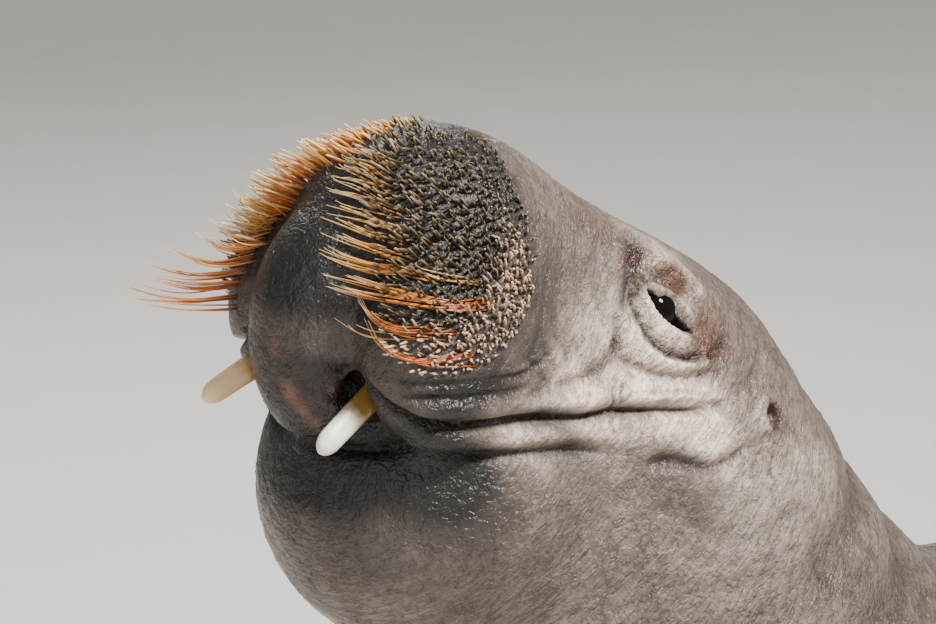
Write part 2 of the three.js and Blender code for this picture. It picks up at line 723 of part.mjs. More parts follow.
function buildBody() {
  const trunk = stretch([-330, -1600, -30], [330, 20, 640], TORSO_STEP);
  const neckLump = stretch([-260, -330, EYE_HEIGHT - 520], [260, 330, EYE_HEIGHT - 60], NECK_STEP);
  const neck = largest(neckLump.intersect(cut("chest")(GAP / 2)).subtract(cut("neck")(-GAP / 2)));
  let torso = largest(trunk.subtract(cut("chest")(-GAP / 2)));
  const limbs = {};
  for (const [name, lo, hi, edge] of [
    ["fore_flipper", [200, -460, -11], [600, 40, 420], "arm"],
    ["hind_flipper", [70, -1680, -11], [440, -1130, 260], "leg"],
  ]) {
    const fine = stretch(lo, hi, FLIPPER_STEP, flipperSize, 1);
    limbs[`${name}_left`] = largest(fine.intersect(cut(edge)(GAP / 2)));
    const other = stretch([-hi[0], lo[1], lo[2]], [-lo[0], hi[1], hi[2]], FLIPPER_STEP, flipperSize, 1);
    limbs[`${name}_right`] = largest(other.intersect(cut(edge, true)(GAP / 2)));
    torso = torso.subtract(cut(edge)(-GAP / 2)).subtract(cut(edge, true)(-GAP / 2));
  }
  const fineTail = stretch([-150, -1520, -11], [150, -1330, 160], TAIL_STEP);
  nodes.set("torso", largest(torso.subtract(cut("tail")(-GAP / 2))));
  nodes.set("tail", largest(fineTail.intersect(cut("tail")(GAP / 2))));
  nodes.set("neck", neck);
  for (const [name, solid] of Object.entries(limbs)) nodes.set(name, solid);
}

function buildHead() {
  const whole = stretch([-200, -270, EYE_HEIGHT - 290], [200, 330, EYE_HEIGHT + 200], HEAD_STEP, headSize, 3);
  let head = largest(whole.intersect(cut("neck")(GAP / 2)));
  const lobe = (shift) => headBall(CHIN, 1.2 - shift);
  const underMouth = both(headCut([0, 0, -73], [0, -1, -1]), headCut([0, -3, -73], [0, 0.957, -0.292]));
  const jawRegion = (shift) => underMouth(shift).add(lobe(shift));
  let jaw;
  [jaw, head] = parted(head, jawRegion);
  let muzzle;
  [muzzle, head] = parted(head, headCut([0, MUZZLE_BACK, 0], [0, 1, 0]));
  let nose;
  const noseRegion = both(
    both(headCut([-NOSE.half, 0, 0], [1, 0, 0]), headCut([NOSE.half, 0, 0], [-1, 0, 0])),
    headCut([0, 0, NOSE.low], [0, 0, 1]),
  );
  [nose, muzzle] = parted(muzzle, noseRegion);
  const pads = {};
  for (const side of [1, -1]) {
    const half = beyond([0, 0, 0], [side, 0, 0], GAP / 2);
    pads[side] = largest(muzzle.intersect(half));
  }
  for (const side of [1, -1]) {
    const hole = tusk(side, GAP);
    head = head.subtract(hole).subtract(eye(side, GAP));
    jaw = jaw.subtract(hole);
    pads[side] = largest(pads[side].subtract(hole));
  }
  nodes.set("head", largest(head));
  nodes.set("lower_jaw", largest(jaw));
  nodes.set("nose", largest(nose));
  nodes.set("whisker_pad_left", wasm.Manifold.union([pads[1], ...whiskers(1)]));
  nodes.set("whisker_pad_right", wasm.Manifold.union([pads[-1], ...whiskers(-1)]));
  nodes.set("tusk_left", tusk(1, 0));
  nodes.set("tusk_right", tusk(-1, 0));
  nodes.set("eye_left", eye(1, 0));
  nodes.set("eye_right", eye(-1, 0));
}

buildBody();
buildHead();

const COLOURS = {
  head: ["#7d6a5f", 0.5],
  lower_jaw: ["#5d4d46", 0.5],
  nose: ["#574a44", 0.45],
  whisker_pad_left: ["#4a3d38", 0.5],
  whisker_pad_right: ["#4a3d38", 0.5],
  tusk_left: ["#ece4cf", 0.35],
  tusk_right: ["#e2c998", 0.35],
  eye_left: ["#120c0a", 0.08],
  eye_right: ["#120c0a", 0.08],
};

function neighbours(count, faces) {
  const near = Array.from({ length: count }, () => new Set());
  for (const [a, b, c] of faces) {
    near[a].add(b).add(c);
    near[b].add(a).add(c);
    near[c].add(a).add(b);
  }
  return near;
}

// Closes up the very short edges that cuts leave, where that keeps the surface closed
function tidied(solid, least = 0.03) {
  const { vertProperties: v, triVerts: w } = solid.getMesh();
  const points = Array.from({ length: v.length / 3 }, (_, i) => [v[3 * i], v[3 * i + 1], v[3 * i + 2]]);
  let faces = Array.from({ length: w.length / 3 }, (_, i) => [w[3 * i], w[3 * i + 1], w[3 * i + 2]]);
  for (let found = true; found;) {
    const near = neighbours(points.length, faces);
    const into = new Map();
    const busy = new Set();
    for (const face of faces) {
      for (let i = 0; i < 3; i += 1) {
        const [a, b] = [face[i], face[(i + 1) % 3]];
        const [p, q] = [points[a], points[b]];
        if (Math.hypot(p[0] - q[0], p[1] - q[1], p[2] - q[2]) > least) continue;
        const around = new Set([a, b, ...near[a], ...near[b]]);
        const shared = [...near[a]].filter((n) => near[b].has(n)).length;
        if (shared !== 2 || [...around].some((n) => busy.has(n))) continue;
        into.set(b, a);
        for (const n of around) busy.add(n);
      }
    }
    faces = faces.map((face) => face.map((n) => into.get(n) ?? n))
      .filter(([a, b, c]) => a !== b && b !== c && c !== a);
    found = into.size > 0;
  }
  return { points, faces };
}

// The largest closed surface of a solid, with its shortest edges closed up
function cleaned(solid) {
  const { points, faces } = tidied(largest(solid));
  const used = [...new Set(faces.flat())];
  const number = new Map(used.map((old, i) => [old, i]));
  return largest(solidOf(used.map((i) => points[i]), faces.map((face) => face.map((n) => number.get(n)))));
}

function geometryOf(solid) {
  const { vertProperties, triVerts } = solid.getMesh();
  const geometry = new THREE.BufferGeometry();
  geometry.setAttribute("position", new THREE.BufferAttribute(Float32Array.from(vertProperties), 3));
  geometry.setIndex(new THREE.BufferAttribute(Uint32Array.from(triVerts), 1));
  return geometry;
}

const group = new THREE.Group();
for (const [name, solid] of nodes) {
  const geometry = geometryOf(cleaned(solid));
  geometry.computeVertexNormals();
  const [color, roughness] = COLOURS[name] || ["#7a665a", 0.55];
  const mesh = new THREE.Mesh(geometry, new THREE.MeshStandardMaterial({ color, roughness, metalness: 0 }));
  mesh.name = name;
  group.add(mesh);
}

export default group;
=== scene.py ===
"""Looks of the walrus figure: a skin over the solids, whiskers, hair, eyes, tusks, claws and stage."""

import math

import bpy
import numpy as np
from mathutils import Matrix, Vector


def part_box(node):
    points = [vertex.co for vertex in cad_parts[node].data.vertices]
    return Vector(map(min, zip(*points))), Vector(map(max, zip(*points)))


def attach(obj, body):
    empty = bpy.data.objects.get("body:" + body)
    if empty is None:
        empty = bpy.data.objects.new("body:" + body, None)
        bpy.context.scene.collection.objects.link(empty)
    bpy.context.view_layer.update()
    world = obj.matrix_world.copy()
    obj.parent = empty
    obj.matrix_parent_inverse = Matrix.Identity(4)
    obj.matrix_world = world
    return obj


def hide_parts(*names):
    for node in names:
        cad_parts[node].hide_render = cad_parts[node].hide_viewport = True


bl_info = {
    "name": "Walrus figure",
    "version": (1, 0, 0),
    "blender": (4, 5, 0),
    "location": "View3D > Sidebar > Walrus",
    "description": "Skin, whiskers, hair, eyes, tusks, claws and stage of a young walrus",
    "category": "Object",
}

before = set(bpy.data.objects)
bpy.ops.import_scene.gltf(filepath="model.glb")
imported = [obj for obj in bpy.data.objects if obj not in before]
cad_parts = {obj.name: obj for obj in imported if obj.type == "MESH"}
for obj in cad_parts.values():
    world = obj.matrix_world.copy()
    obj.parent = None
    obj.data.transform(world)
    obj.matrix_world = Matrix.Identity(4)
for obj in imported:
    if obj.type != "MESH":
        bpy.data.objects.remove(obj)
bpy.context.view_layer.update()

# Sizes in millimetres, as in the part's own source
HEAD_PITCH = 50.0
CP, SP = math.cos(math.radians(HEAD_PITCH)), math.sin(math.radians(HEAD_PITCH))
EYE_OUT = 70.0  # outermost point of the eye, from the middle of the head
EYEBALL = (56.6, -1.0, -5.0)  # its middle, under the lids
EYEBALL_RADIUS = 16.4
EYE_BACK = 2.0  # behind the line from which the head is measured
EYE_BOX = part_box("eye_left")
EYE_FORWARD = -(EYE_BOX[0][1] + EYE_BOX[1][1]) * 500.0 + EYE_BACK * CP
EYE_HEIGHT = (EYE_BOX[0][2] + EYE_BOX[1][2]) * 500.0 + EYE_BACK * SP

# Lumps of the head: centre and radii (x, forward, up from between the eyes), pitch, blend
HEAD = (
    ((0, -50, -54), (84, 128, 92), 0, 30),
    ((0, 62, -46), (54, 120, 62), -16, 40),
    ((0, 106, -84), (74, 88, 86), 0, 36),
)
# The same on both sides, with roll and the blend over the middle
HEAD_PAIRS = (
    ((50, 102, -108), (46, 68, 72), 24, 16, 12),
    ((44, 30, -104), (42, 95, 60), 0, 40, 24),
    ((38, -4, 10), (24, 36, 18), 0, 20, 20),
)
CHIN = ((0, 139, -145), (46, 70, 42), 47, 8)
THROAT = (126, -98, 102, 14)
NECK_BLEND = (40, 110)  # at the nape and low on the throat
# Trunk: forward, height, radius up and down, radius sideways
SPINE = (
    (-10, EYE_HEIGHT - 122, 132, 112),
    (-66, EYE_HEIGHT - 270, 168, 150),
    (-140, EYE_HEIGHT - 400, 210, 206),
    (-300, 268, 240, 248),
    (-520, 238, 244, 272),
    (-780, 205, 212, 246),
    (-1020, 158, 165, 192),
    (-1220, 100, 106, 128),
    (-1370, 58, 54, 66),
    (-1460, 42, 24, 34),
)
SPINE_STEPS = 28
SHOULDER, ELBOW, WRIST = (160, -205, 290, 112), (276, -246, 164, 80), (330, -236, 44, 46)
HAND = (-14, 78, (222, 220, 206, 184, 158), 42, 14, 17)
HIP, ANKLE = (80, -1265, 90, 74), (140, -1350, 40, 38)
FOOT = (24, 80, (225, 205, 196, 205, 225), 34, 12, 14)
# Pits: centre, radii, pitch, yaw
PITS = (
    ((98, -96, 0), (13, 9, 7), 0, 0),
    ((15, 146, -4), (4, 13, 13), 0, 28),
    ((44, 118, -166), (13, 16, 22), 0, 0),
)
# Folds in the head's frame: points, half width, depth (below zero for a roll, painted paler as a highlight),
# darkness of the painted shade in the crease
FOLDS = (
    # Mouth line, and the rims of both lips
    (((40, 150, -176), (73, 125, -172), (88, 109, -167), (97, 85, -148), (94, 62, -128), (89, 38, -107),
      (88, 14, -88), (90, 3, -75), (94, -12, -61), (100, -36, -40), (101, -54, -24), (99, -60, -12)),
     2.1, 8, 1.0),
    (((81, 119, -163), (97, 102, -148), (96, 69, -119), (88, 37, -95), (87, 13, -75)), 3.2, -3.5, 0),
    (((69, 99, -178), (91, 88, -164), (92, 60, -141), (91, 25, -111), (93, -8, -83), (103, -40, -58)),
     5.5, -5, 0),
    # Crease under the lower lip
    (((-12, 106, -206), (30, 97, -196), (50, 91, -185), (76, 86, -174), (89, 65, -156), (94, 37, -130),
      (92, 10, -108), (96, -14, -92)), 2.6, 6, 1.0),
    # Folds of the upper lip under the whisker pad
    (((79, 139, -162), (94, 127, -150), (101, 106, -128), (94, 75, -100), (85, 61, -77)), 1.7, 2.6, 0.6),
    (((80, 130, -166), (97, 116, -152), (101, 93, -130), (94, 67, -106)), 1.5, 2.2, 0.6),
    (((84, 133, -156), (99, 119, -139), (101, 101, -123), (94, 74, -94)), 1.6, -1.8, 0),
    (((95, 66, -116), (89, 52, -95), (84, 48, -77), (78, 46, -59)), 2.2, 3, 0.45),
    # Cheek
    (((76, 20, -38), (80, 21, -53), (82, 24, -62), (84, 33, -77), (90, 46, -92)), 2.4, 4.2, 0.75),
    (((93, 44, -108), (88, 22, -85), (88, 4, -64), (95, -20, -47), (99, -42, -28)), 5, -4, 0),
    (((87, 1, -44), (93, -22, -31), (96, -42, -14)), 2, 2, 0.25),
    (((101, -34, -87), (104, -42, -73), (109, -66, -59), (110, -77, -44), (106, -88, -25)), 2.8, 5.2, 0.85),
    (((99, -55, -19), (95, -62, -6), (87, -71, 12), (73, -79, 30)), 3, 3, 0.3),
    # Lids: rims, groove, bag and its groove
    (((63, 21, -3), (68, 15, -8), (74, 7, -12), (79, -5, -12), (82, -20, -6)), 1.9, -2.4, 0),
    (((63, 19, 1), (66, 14, 4), (68, 6, 7), (72, -7, 7), (78, -18, 3)), 1.7, -2, 0),
    (((60, 28, 2), (66, 24, -8), (69, 19, -15), (74, 12, -19), (79, 3, -23), (84, -8, -22), (86, -16, -18),
      (88, -32, -7)), 2.3, 5.0, 1.0),
    (((72, 20, -23), (79, 9, -30), (87, -11, -28), (89, -36, -9)), 2.8, -2.6, 0),
    (((72, 22, -19), (77, 9, -25), (85, -9, -25), (88, -30, -10)), 0.9, 1.6, 0.6),
    (((68, 30, -24), (74, 24, -36), (80, 17, -46), (85, 1, -42), (91, -18, -31), (91, -45, -6)),
     2.2, 3.8, 0.75),
    # Brow and the hollow over the lid
    (((40, 38, 27), (51, 33, 12), (60, 30, -4), (65, 27, -13), (70, 27, -25)), 3.2, 4.6, 0.9),
    (((61, 22, 8), (64, 15, 9), (66, 7, 12), (68, -5, 16), (72, -16, 14)), 2.8, 3, 0.35),
    (((52, 24, 17), (57, 12, 22), (62, -4, 25), (68, -20, 22)), 4, -3.5, 0),
    (((88, -33, -8), (85, -36, 0), (79, -43, 14)), 1.8, 3, 0.75),
    # Behind the whisker pad and along the snout
    (((33, 91, 6), (59, 86, -21), (73, 71, -50), (85, 67, -77)), 5, 2.5, 0.15),
    (((35, 106, 2), (40, 78, 3), (52, 54, -5), (66, 36, -24)), 4, 1.6, 0.1),
    (((70, 92, -42), (80, 84, -62), (87, 80, -84), (92, 78, -100)), 2.4, 1.5, 0.2),
    # Pleats at the corner of the mouth and behind the pad
    (((86, 11, -64), (87, 8, -70), (90, 2, -73)), 1.3, 2.6, 0.8),
    (((86, 7, -58), (88, 6, -65), (90, 0, -69)), 1.2, 2.2, 0.65),
    (((88, 75, -81), (88, 64, -83), (86, 50, -85)), 1.6, 2, 0.4),
    (((94, 84, -94), (92, 70, -94), (90, 55, -96)), 1.6, 2, 0.45),
    (((82, 67, -69), (82, 54, -71), (83, 43, -75)), 1.6, 1.8, 0.35),
    # Fine ones of the cheek, the bag, the snout's side and the neck
    (((90, -3, -58), (94, -22, -39), (98, -47, -23)), 1.4, 1.9, 0.45),
    (((94, -13, -56), (98, -32, -37), (100, -55, -21)), 1.4, 2.0, 0.5),
    (((76, 14, -26), (82, 3, -28), (87, -14, -22), (88, -32, -10)), 1.2, 1.8, 0.55),
    (((32, 63, 11), (57, 73, -16), (66, 60, -34), (72, 44, -45)), 2.4, 1.5, 0.2),
    (((33, 47, 16), (55, 53, -10), (65, 43, -28), (73, 31, -41)), 2.4, 1.4, 0.2),
    (((106, -82, -26), (110, -107, -29), (117, -126, -43)), 2.4, 2, 0.25),
    # Ear
    (((98, -84, 8), (100, -82, 0), (101, -86, -10), (102, -98, -12)), 3, -3, 0),
    (((104, -94, -12), (107, -96, -26), (110, -94, -40)), 1.4, 2, 0.3),
    (((103, -102, -12), (107, -108, -24), (110, -112, -36)), 1.4, 2, 0.3),
)
SLIT = ((65, 18, -2), (70, 8, -4), (76, -4, -4), (80, -17, -2))
SLIT_HALF = 2.5
TUSK_PATH = ((40, 106, -122), (45.5, 113.5, -155), (52.5, 122.5, -188), (57, 128.5, -214))
TUSK_RADII = (9.0, 7.2)
TUSK_BLUNT = 0.86
TUSK_FLAT = 0.78
TUSK_STAINS = (0.03, 0.75)  # left and right
CLAW_TOP = 60.0  # height from which a claw's place on the digit is looked for
CLAW_LINE = ((-7, -4.5), (-1, -0.2), (5, 1.3), (11, 0.6), (16, -1.6))  # ahead of its root, and up
CLAW_RADII = (1.8, 2.8, 2.6, 1.9, 0.5)
PAD_MIDDLE = np.array([44.0, 100.0, -106.0])
NOSE_HALF = 24.0
# Markings in the head's frame: share, centre, size. The dark ones are dark hide and painted shade, the pale
# ones painted highlights of a wet sheen
# Dark hide of the muzzle and chin, partly painted shade, and painted shade under the lips, on the throat,
# under the jaw and behind the pads
DARK_AND_SHADE_PATCHES = (
    (1.3, (0, 150, -150), (62, 60, 62)), (1.0, (10, 92, -212), (66, 46, 46)),
    (0.5, (60, 60, -196), (50, 60, 40)), (0.9, (84, 60, -178), (30, 56, 24)),
    (0.5, (97, 114, -146), (24, 28, 22)), (0.35, (99, 86, -122), (20, 26, 16)),
    (0.3, (104, -6, -118), (40, 40, 22)), (0.5, (112, -66, -80), (24, 44, 18)),
    (0.42, (90, 26, -108), (16, 36, 9)), (0.45, (90, 58, -158), (20, 34, 11)),
    (0.22, (62, 72, -24), (26, 26, 24)), (0.2, (80, 84, -60), (22, 22, 34)),
    (0.25, (92, 78, -86), (18, 20, 22)),
)
RUST_PATCHES = (
    (1.4, (64, 5, 15), (11, 13, 8)), (1.1, (81, -29, 4), (15, 15, 21)), (0.9, (53, 31, 12), (6, 7, 16)),
    (0.5, (26, 66, 15), (18, 20, 14)), (0.45, (42, 38, 17), (14, 14, 12)),
    (0.35, (40, 20, 30), (18, 20, 12)), (0.95, (98, -96, 0), (20, 15, 13)),
    (0.3, (80, -66, 20), (20, 30, 20)),
)
# Painted highlights of a wet sheen on the cheeks, lids, brow, lips, jaw and neck
SHEEN_HIGHLIGHT_PATCHES = (
    (1.0, (93, -12, -50), (30, 42, 16)), (0.7, (98, -40, -30), (20, 26, 16)),
    (0.4, (93, 50, -132), (20, 34, 9)), (0.3, (92, 14, -104), (20, 44, 18)),
    (0.8, (88, 32, -78), (12, 28, 11)), (0.8, (105, -50, -42), (16, 34, 13)),
    (0.25, (101, -140, 4), (24, 40, 30)), (0.45, (72, 38, -34), (16, 20, 36)),
    (0.6, (44, 22, 26), (18, 22, 12)), (0.7, (84, 0, -30), (18, 26, 12)), (0.8, (69, -6, 14), (9, 7, 6)),
    (0.3, (104, -110, -60), (40, 50, 50)), (0.8, (74, 8, -14), (10, 18, 5)),
    (0.9, (70, 12, -9), (7, 15, 4)), (0.9, (79, -7, -11), (7, 13, 4)), (0.5, (44, 112, -178), (14, 16, 8)),
    (0.5, (62, 97, -178), (16, 10, 6)),
)
PINK_PATCHES = (
    (0.5, (17, 140, -194), (5, 14, 6)), (0.45, (23, 122, -197), (6, 12, 6)),
    (0.35, (9, 158, -182), (4, 14, 12)), (0.25, (38, 132, -178), (10, 8, 8)),
)
# Where the chin's dark is thinner
OLIVE_PATCH = (0.2, (8, 158, -182), (20, 20, 22))
# Clumps of long whiskers over the left pad: points from root to tip, number, orange share
NEAR_CLUMPS = (
    (((99, 121, -123), (90, 142, -146), (74, 154, -150), (60, 160, -144)), 10, 1.0),
    (((93, 139, -121), (80, 158, -139), (63, 164, -141), (49, 166, -137)), 12, 1.0),
    (((88, 146, -132), (64, 161, -149), (40, 163, -152)), 3, 0.5),
    (((90, 124, -90), (87, 150, -113), (54, 172, -134), (32, 176, -141)), 8, 0.9),
    (((91, 130, -98), (78, 158, -116), (50, 175, -128), (29, 180, -137)), 8, 0.85),
    (((84, 138, -88), (79, 156, -101), (60, 171, -112)), 5, 0.6),
    (((76, 156, -104), (44, 176, -122), (25, 186, -130)), 7, 0.8),
    (((66, 167, -107), (42, 180, -117), (22, 188, -126)), 6, 0.7),
    (((63, 168, -101), (38, 183, -109), (17, 190, -118)), 6, 0.6),
    (((55, 174, -95), (32, 186, -101), (12, 192, -110)), 6, 0.55),
    (((50, 178, -89), (26, 189, -95), (8, 194, -103)), 6, 0.5),
    (((43, 183, -84), (20, 192, -88), (3, 196, -95)), 6, 0.45),
    (((38, 186, -79), (15, 194, -81), (0, 197, -87)), 6, 0.45),
    (((34, 188, -74), (11, 195, -75), (-3, 198, -80)), 6, 0.45),
    (((29, 190, -69), (8, 196, -69), (-5, 198, -74)), 6, 0.45),
    (((23, 190, -63), (5, 196, -62), (-7, 197, -67)), 6, 0.45),
)
# Those that stand out from the right pad: root, reach, rise, number, orange share
FAR_CLUMPS = (
    ((-66, 149, -158), 66, -2, 6, 1.0), ((-66, 152, -154), 67, 2, 5, 0.75),
    ((-64, 157, -148), 56, 0, 8, 1.0), ((-62, 160, -143), 60, 2, 7, 0.75),
    ((-60, 164, -136), 48, 3, 11, 0.85), ((-57, 167, -127), 38, 5, 11, 0.9),
    ((-56, 169, -120), 32, 7, 9, 0.65), ((-57, 169, -113), 29, 9, 9, 0.75),
    ((-55, 171, -106), 27, 11, 9, 0.65),
)
# Soft rolls: place along the trunk in hundredths, width, depth, angle round it from the back
BODY_FOLDS = (
    (4.0, 1.1, 6, 0.0), (8.5, 1.3, 6.5, 0.0), (13.0, 1.5, 5.5, 0.0), (18.5, 1.6, 4, 0.0),
    (7.0, 0.8, 4, 2.4), (12.0, 0.9, 5, 2.4), (17.5, 1.0, 4, 2.4),
    (24.0, 1.0, 4, 1.0), (33.0, 1.2, 3, 1.4), (47.0, 1.4, 3, 0.9), (82.0, 1.0, 3, 0.6),
)

# Camera of the photograph
VIEW_AZIMUTH = math.radians(52)
VIEW_ELEVATION = math.radians(18)
VIEW_DISTANCE = 2.6
FRAME_WIDTH = 0.5506  # of the view at the head
EYE_IN_FRAME = (202 / 1700, 4 / 1700)  # right of and above the middle of the view
# Lamps: way from the animal, power in watts, size in metres, colour
LIGHTS = (
    ("key", (0.92, 0.3, 1.35), 172, 0.55, (1.0, 0.965, 0.91)),
    ("fill", (0.6, -1.3, 0.5), 20, 2.4, (1.0, 1.0, 1.0)),
    ("rim", (-1.2, 0.5, 0.9), 48, 1.2, (1.0, 1.0, 1.0)),
)
LIT_POINT, LAMP_REACH = (0, -0.55, 0.6), 1.6
BACKDROP, BACKDROP_GAIN = "#d6d6d3", 0.55
FLOOR_HALF = 90  # metres

# Where the parts of the field end, in mm: below the eyes, over the floor, and forward
HEAD_REACH, FOLD_REACH, COAT_REACH, PIT_REACH = 420, 330, 300, 260
LIMB_TOP, ARM_REAR, LEG_FRONT = 460, -620, -900
SKIN_BOX = (-575, -930, -18), (575, 930, 925)
GRID_STEP = 10.0
GRID_COARSE = 4  # steps of the first, rough grid
# Cells round a grid edge, in the order in which they are added up for each axis, and as a ring
CORNERS = (
    ((0, 0), (0, 1), (1, 0), (1, 1)),
    ((0, 0), (1, 0), (0, 1), (1, 1)),
    ((0, 0), (0, 1), (1, 0), (1, 1)),
)
RING = ((0, 0), (1, 0), (1, 1), (0, 1))
SPLIT_AT = 1.45  # times the wanted length of an edge
PAD_RAYS = 9000  # tried for the places of one pad's bristles
FLESH = ("torso", "tail", "neck", "fore_flipper_left", "fore_flipper_right", "hind_flipper_left",
         "hind_flipper_right", "head", "lower_jaw", "nose", "whisker_pad_left", "whisker_pad_right")
SIDES = ((1, "left"), (-1, "right"))
SEED = 7
BLACK, WHITE = (0, 0, 0, 1), (1, 1, 1, 1)


def colour(text):
    """Linear RGBA of an sRGB hex colour."""
    parts = [int(text[i:i + 2], 16) / 255 for i in (1, 3, 5)]
    return tuple(c / 12.92 if c <= 0.04045 else ((c + 0.055) / 1.055) ** 2.4 for c in parts) + (1.0,)


def shade(value, gain=1.0):
    return tuple(min(1.0, c * gain) for c in value[:3]) + (1.0,)


def head_to_world(p):
    p = np.asarray(p, float)
    x, f, u = p[..., 0], p[..., 1], p[..., 2]
    return np.stack([x, -(EYE_FORWARD + f * CP - u * SP), EYE_HEIGHT + f * SP + u * CP], -1)


def turned(v):
    """A direction given as (x, forward, up) in the world, in the head's frame."""
    x, a, b = (np.asarray(v, float)[..., i] for i in range(3))
    return np.stack([x, a * CP + b * SP, -a * SP + b * CP], -1)


def world_to_head(p):
    return turned(np.stack([p[..., 0], -p[..., 1] - EYE_FORWARD, p[..., 2] - EYE_HEIGHT], -1))


def head_turn(v):
    v = np.asarray(v, float)
    return np.stack([v[..., 0], -(v[..., 1] * CP - v[..., 2] * SP), v[..., 1] * SP + v[..., 2] * CP], -1)


def held(x):
    return np.clip(x, 0, 1)


def smin(a, b, k):
    h = np.maximum(k - np.abs(a - b), 0.0) / k
    return np.minimum(a, b) - h * h * k * 0.25


def joined(parts):
    """Distances blended one after the other; parts are (distance, blend)."""
    d = None
    for one, k in parts:
        d = one if d is None else smin(d, one, k)
    return d


def lump(p, c, r, pitch=0.0, yaw=0.0, roll=0.0):
    """Distance from an ellipsoid; pitch lifts its forward end, yaw turns it to +x, roll turns +x up."""
    q = [p[:, i] - c[i] for i in range(3)]
    for turn, a, b, way in ((yaw, 0, 1, -1), (pitch, 1, 2, 1), (roll, 0, 2, 1)):
        if turn:
            cs, sn = math.cos(math.radians(turn)), way * math.sin(math.radians(turn))
            q[a], q[b] = q[a] * cs + q[b] * sn, -q[a] * sn + q[b] * cs
    a, b, c = (q[i] / r[i] for i in range(3))
    k0 = np.sqrt(a * a + b * b + c * c)
    k1 = np.sqrt((a / r[0]) ** 2 + (b / r[1]) ** 2 + (c / r[2]) ** 2)
    return k0 * (k0 - 1.0) / np.maximum(k1, 1e-9)


def along(p, a, b):
    """Share of the way along a-b, and distance from it."""
    a, d = np.asarray(a, float), np.subtract(b, a).astype(float)
    q = p - a
    t = np.clip(q @ d / (d @ d), 0.0, 1.0)
    return t, np.linalg.norm(q - t[:, None] * d, axis=1)


def limb(p, a, b):
    t, off = along(p, a[:3], b[:3])
    return off - (a[3] + (b[3] - a[3]) * t)


def smooth_run(points, count):
    """Points evenly spaced in share along a centripetal spline, as the solids' own source has them."""
    pts = np.asarray(points, float)
    pts = np.vstack([2 * pts[0] - pts[1], pts, 2 * pts[-1] - pts[-2]])
    out = []
    spans = len(points) - 1
    for i in range(count + 1):
        at = i / count * spans
        k = min(int(at), spans - 1)
        w = at - k
        p0, p1, p2, p3 = pts[k:k + 4]
        d0, d1, d2 = (math.sqrt(np.linalg.norm(q - p)) for p, q in ((p0, p1), (p1, p2), (p2, p3)))
        m1 = ((p1 - p0) / d0 - (p2 - p0) / (d0 + d1) + (p2 - p1) / d1) * d1
        m2 = ((p2 - p1) / d1 - (p3 - p1) / (d1 + d2) + (p3 - p2) / d2) * d1
        a, b = 2 * p1 - 2 * p2 + m1 + m2, -3 * p1 + 3 * p2 - 2 * m1 - m2
        out.append(((a * w + b) * w + m1) * w + p1)
    return np.array(out)


TRUNK_LINE = smooth_run([(f, z) for f, z, _, _ in SPINE], SPINE_STEPS)
TRUNK_GIRTH = smooth_run([(r, w) for _, _, r, w in SPINE], SPINE_STEPS)


def trunk_span(p, i):
    """Distance from the trunk between two of its rings, which are wider than high."""
    (fa, za), (fb, zb) = TRUNK_LINE[i:i + 2]
    (ra, wa), (rb, wb) = TRUNK_GIRTH[i:i + 2]
    df, dz = fb - fa, zb - za
    t = held(((p[:, 1] - fa) * df + (p[:, 2] - za) * dz) / (df * df + dz * dz))
    r = ra + (rb - ra) * t
    w = wa + (wb - wa) * t
    return np.sqrt((p[:, 0] * r / w) ** 2 + (p[:, 1] - fa - t * df) ** 2 + (p[:, 2] - za - t * dz) ** 2) - r


def trunk_field(p):
    return joined((trunk_span(p, i), 12) for i in range(SPINE_STEPS))


def fan_tips(root, plan):
    heading, spread, digits, _, r1, _ = plan
    for i, reach in enumerate(digits):
        a = math.radians(heading + spread * (i / (len(digits) - 1) - 0.5))
        yield root[0] + math.cos(a) * reach, root[1] + math.sin(a) * reach, r1 * 0.9, a


def fan(p, root, plan):
    """A flipper's digits and the web between them."""
    heading, _, digits, r0, r1, web = plan
    d = joined((limb(p, (*root[:3], r0), (x, y, z, r1)), 30) for x, y, z, _ in fan_tips(root, plan))
    mean = sum(digits) / len(digits)
    a = math.radians(heading)
    c = (root[0] + math.cos(a) * mean * 0.5, root[1] + math.sin(a) * mean * 0.5, web)
    return smin(d, lump(p, c, (mean * 0.55, mean * 0.55, web)), 20)


def arm_field(p):
    d = smin(limb(p, SHOULDER, ELBOW), limb(p, ELBOW, WRIST), 40)
    return smin(d, fan(p, WRIST, HAND), 40)


def leg_field(p):
    return smin(limb(p, HIP, ANKLE), fan(p, ANKLE, FOOT), 30)


def head_field(h):
    mirrored = h * np.array([-1.0, 1.0, 1.0])
    d = joined((lump(h, c, r, pitch), k) for c, r, pitch, k in HEAD)
    for c, r, roll, mid, k in HEAD_PAIRS:
        d = smin(d, smin(lump(h, c, r, 0, 0, roll), lump(mirrored, c, r, 0, 0, roll), mid), k)
    c, r, pitch, k = CHIN
    return smin(d, lump(h, c, r, pitch), k)


def body_field(p):
    """Distance in mm from the skin without pits and folds, below zero inside; p is in world axes, mm."""
    q = np.stack([p[:, 0], -p[:, 1] - EYE_FORWARD, p[:, 2]], 1)
    d = trunk_field(q)
    top = p[:, 2] > EYE_HEIGHT - HEAD_REACH
    if top.any():
        forward, up, radius, k = THROAT
        at = q[top] - np.array([0, forward, EYE_HEIGHT + up])
        head = smin(head_field(world_to_head(p[top])), np.linalg.norm(at, axis=1) - radius, k)
        low = held((EYE_HEIGHT - 110 - p[top, 2]) / 120)
        d[top] = smin(head, d[top], NECK_BLEND[0] + (NECK_BLEND[1] - NECK_BLEND[0]) * low)
    q[:, 0] = np.abs(q[:, 0])
    low_down = p[:, 2] < LIMB_TOP
    for mask, part, k in ((low_down & (q[:, 1] > ARM_REAR), arm_field, 50),
                          (low_down & (q[:, 1] < LEG_FRONT), leg_field, 40)):
        if mask.any():
            d[mask] = smin(d[mask], part(q[mask]), k)
    return np.maximum(d, -p[:, 2])


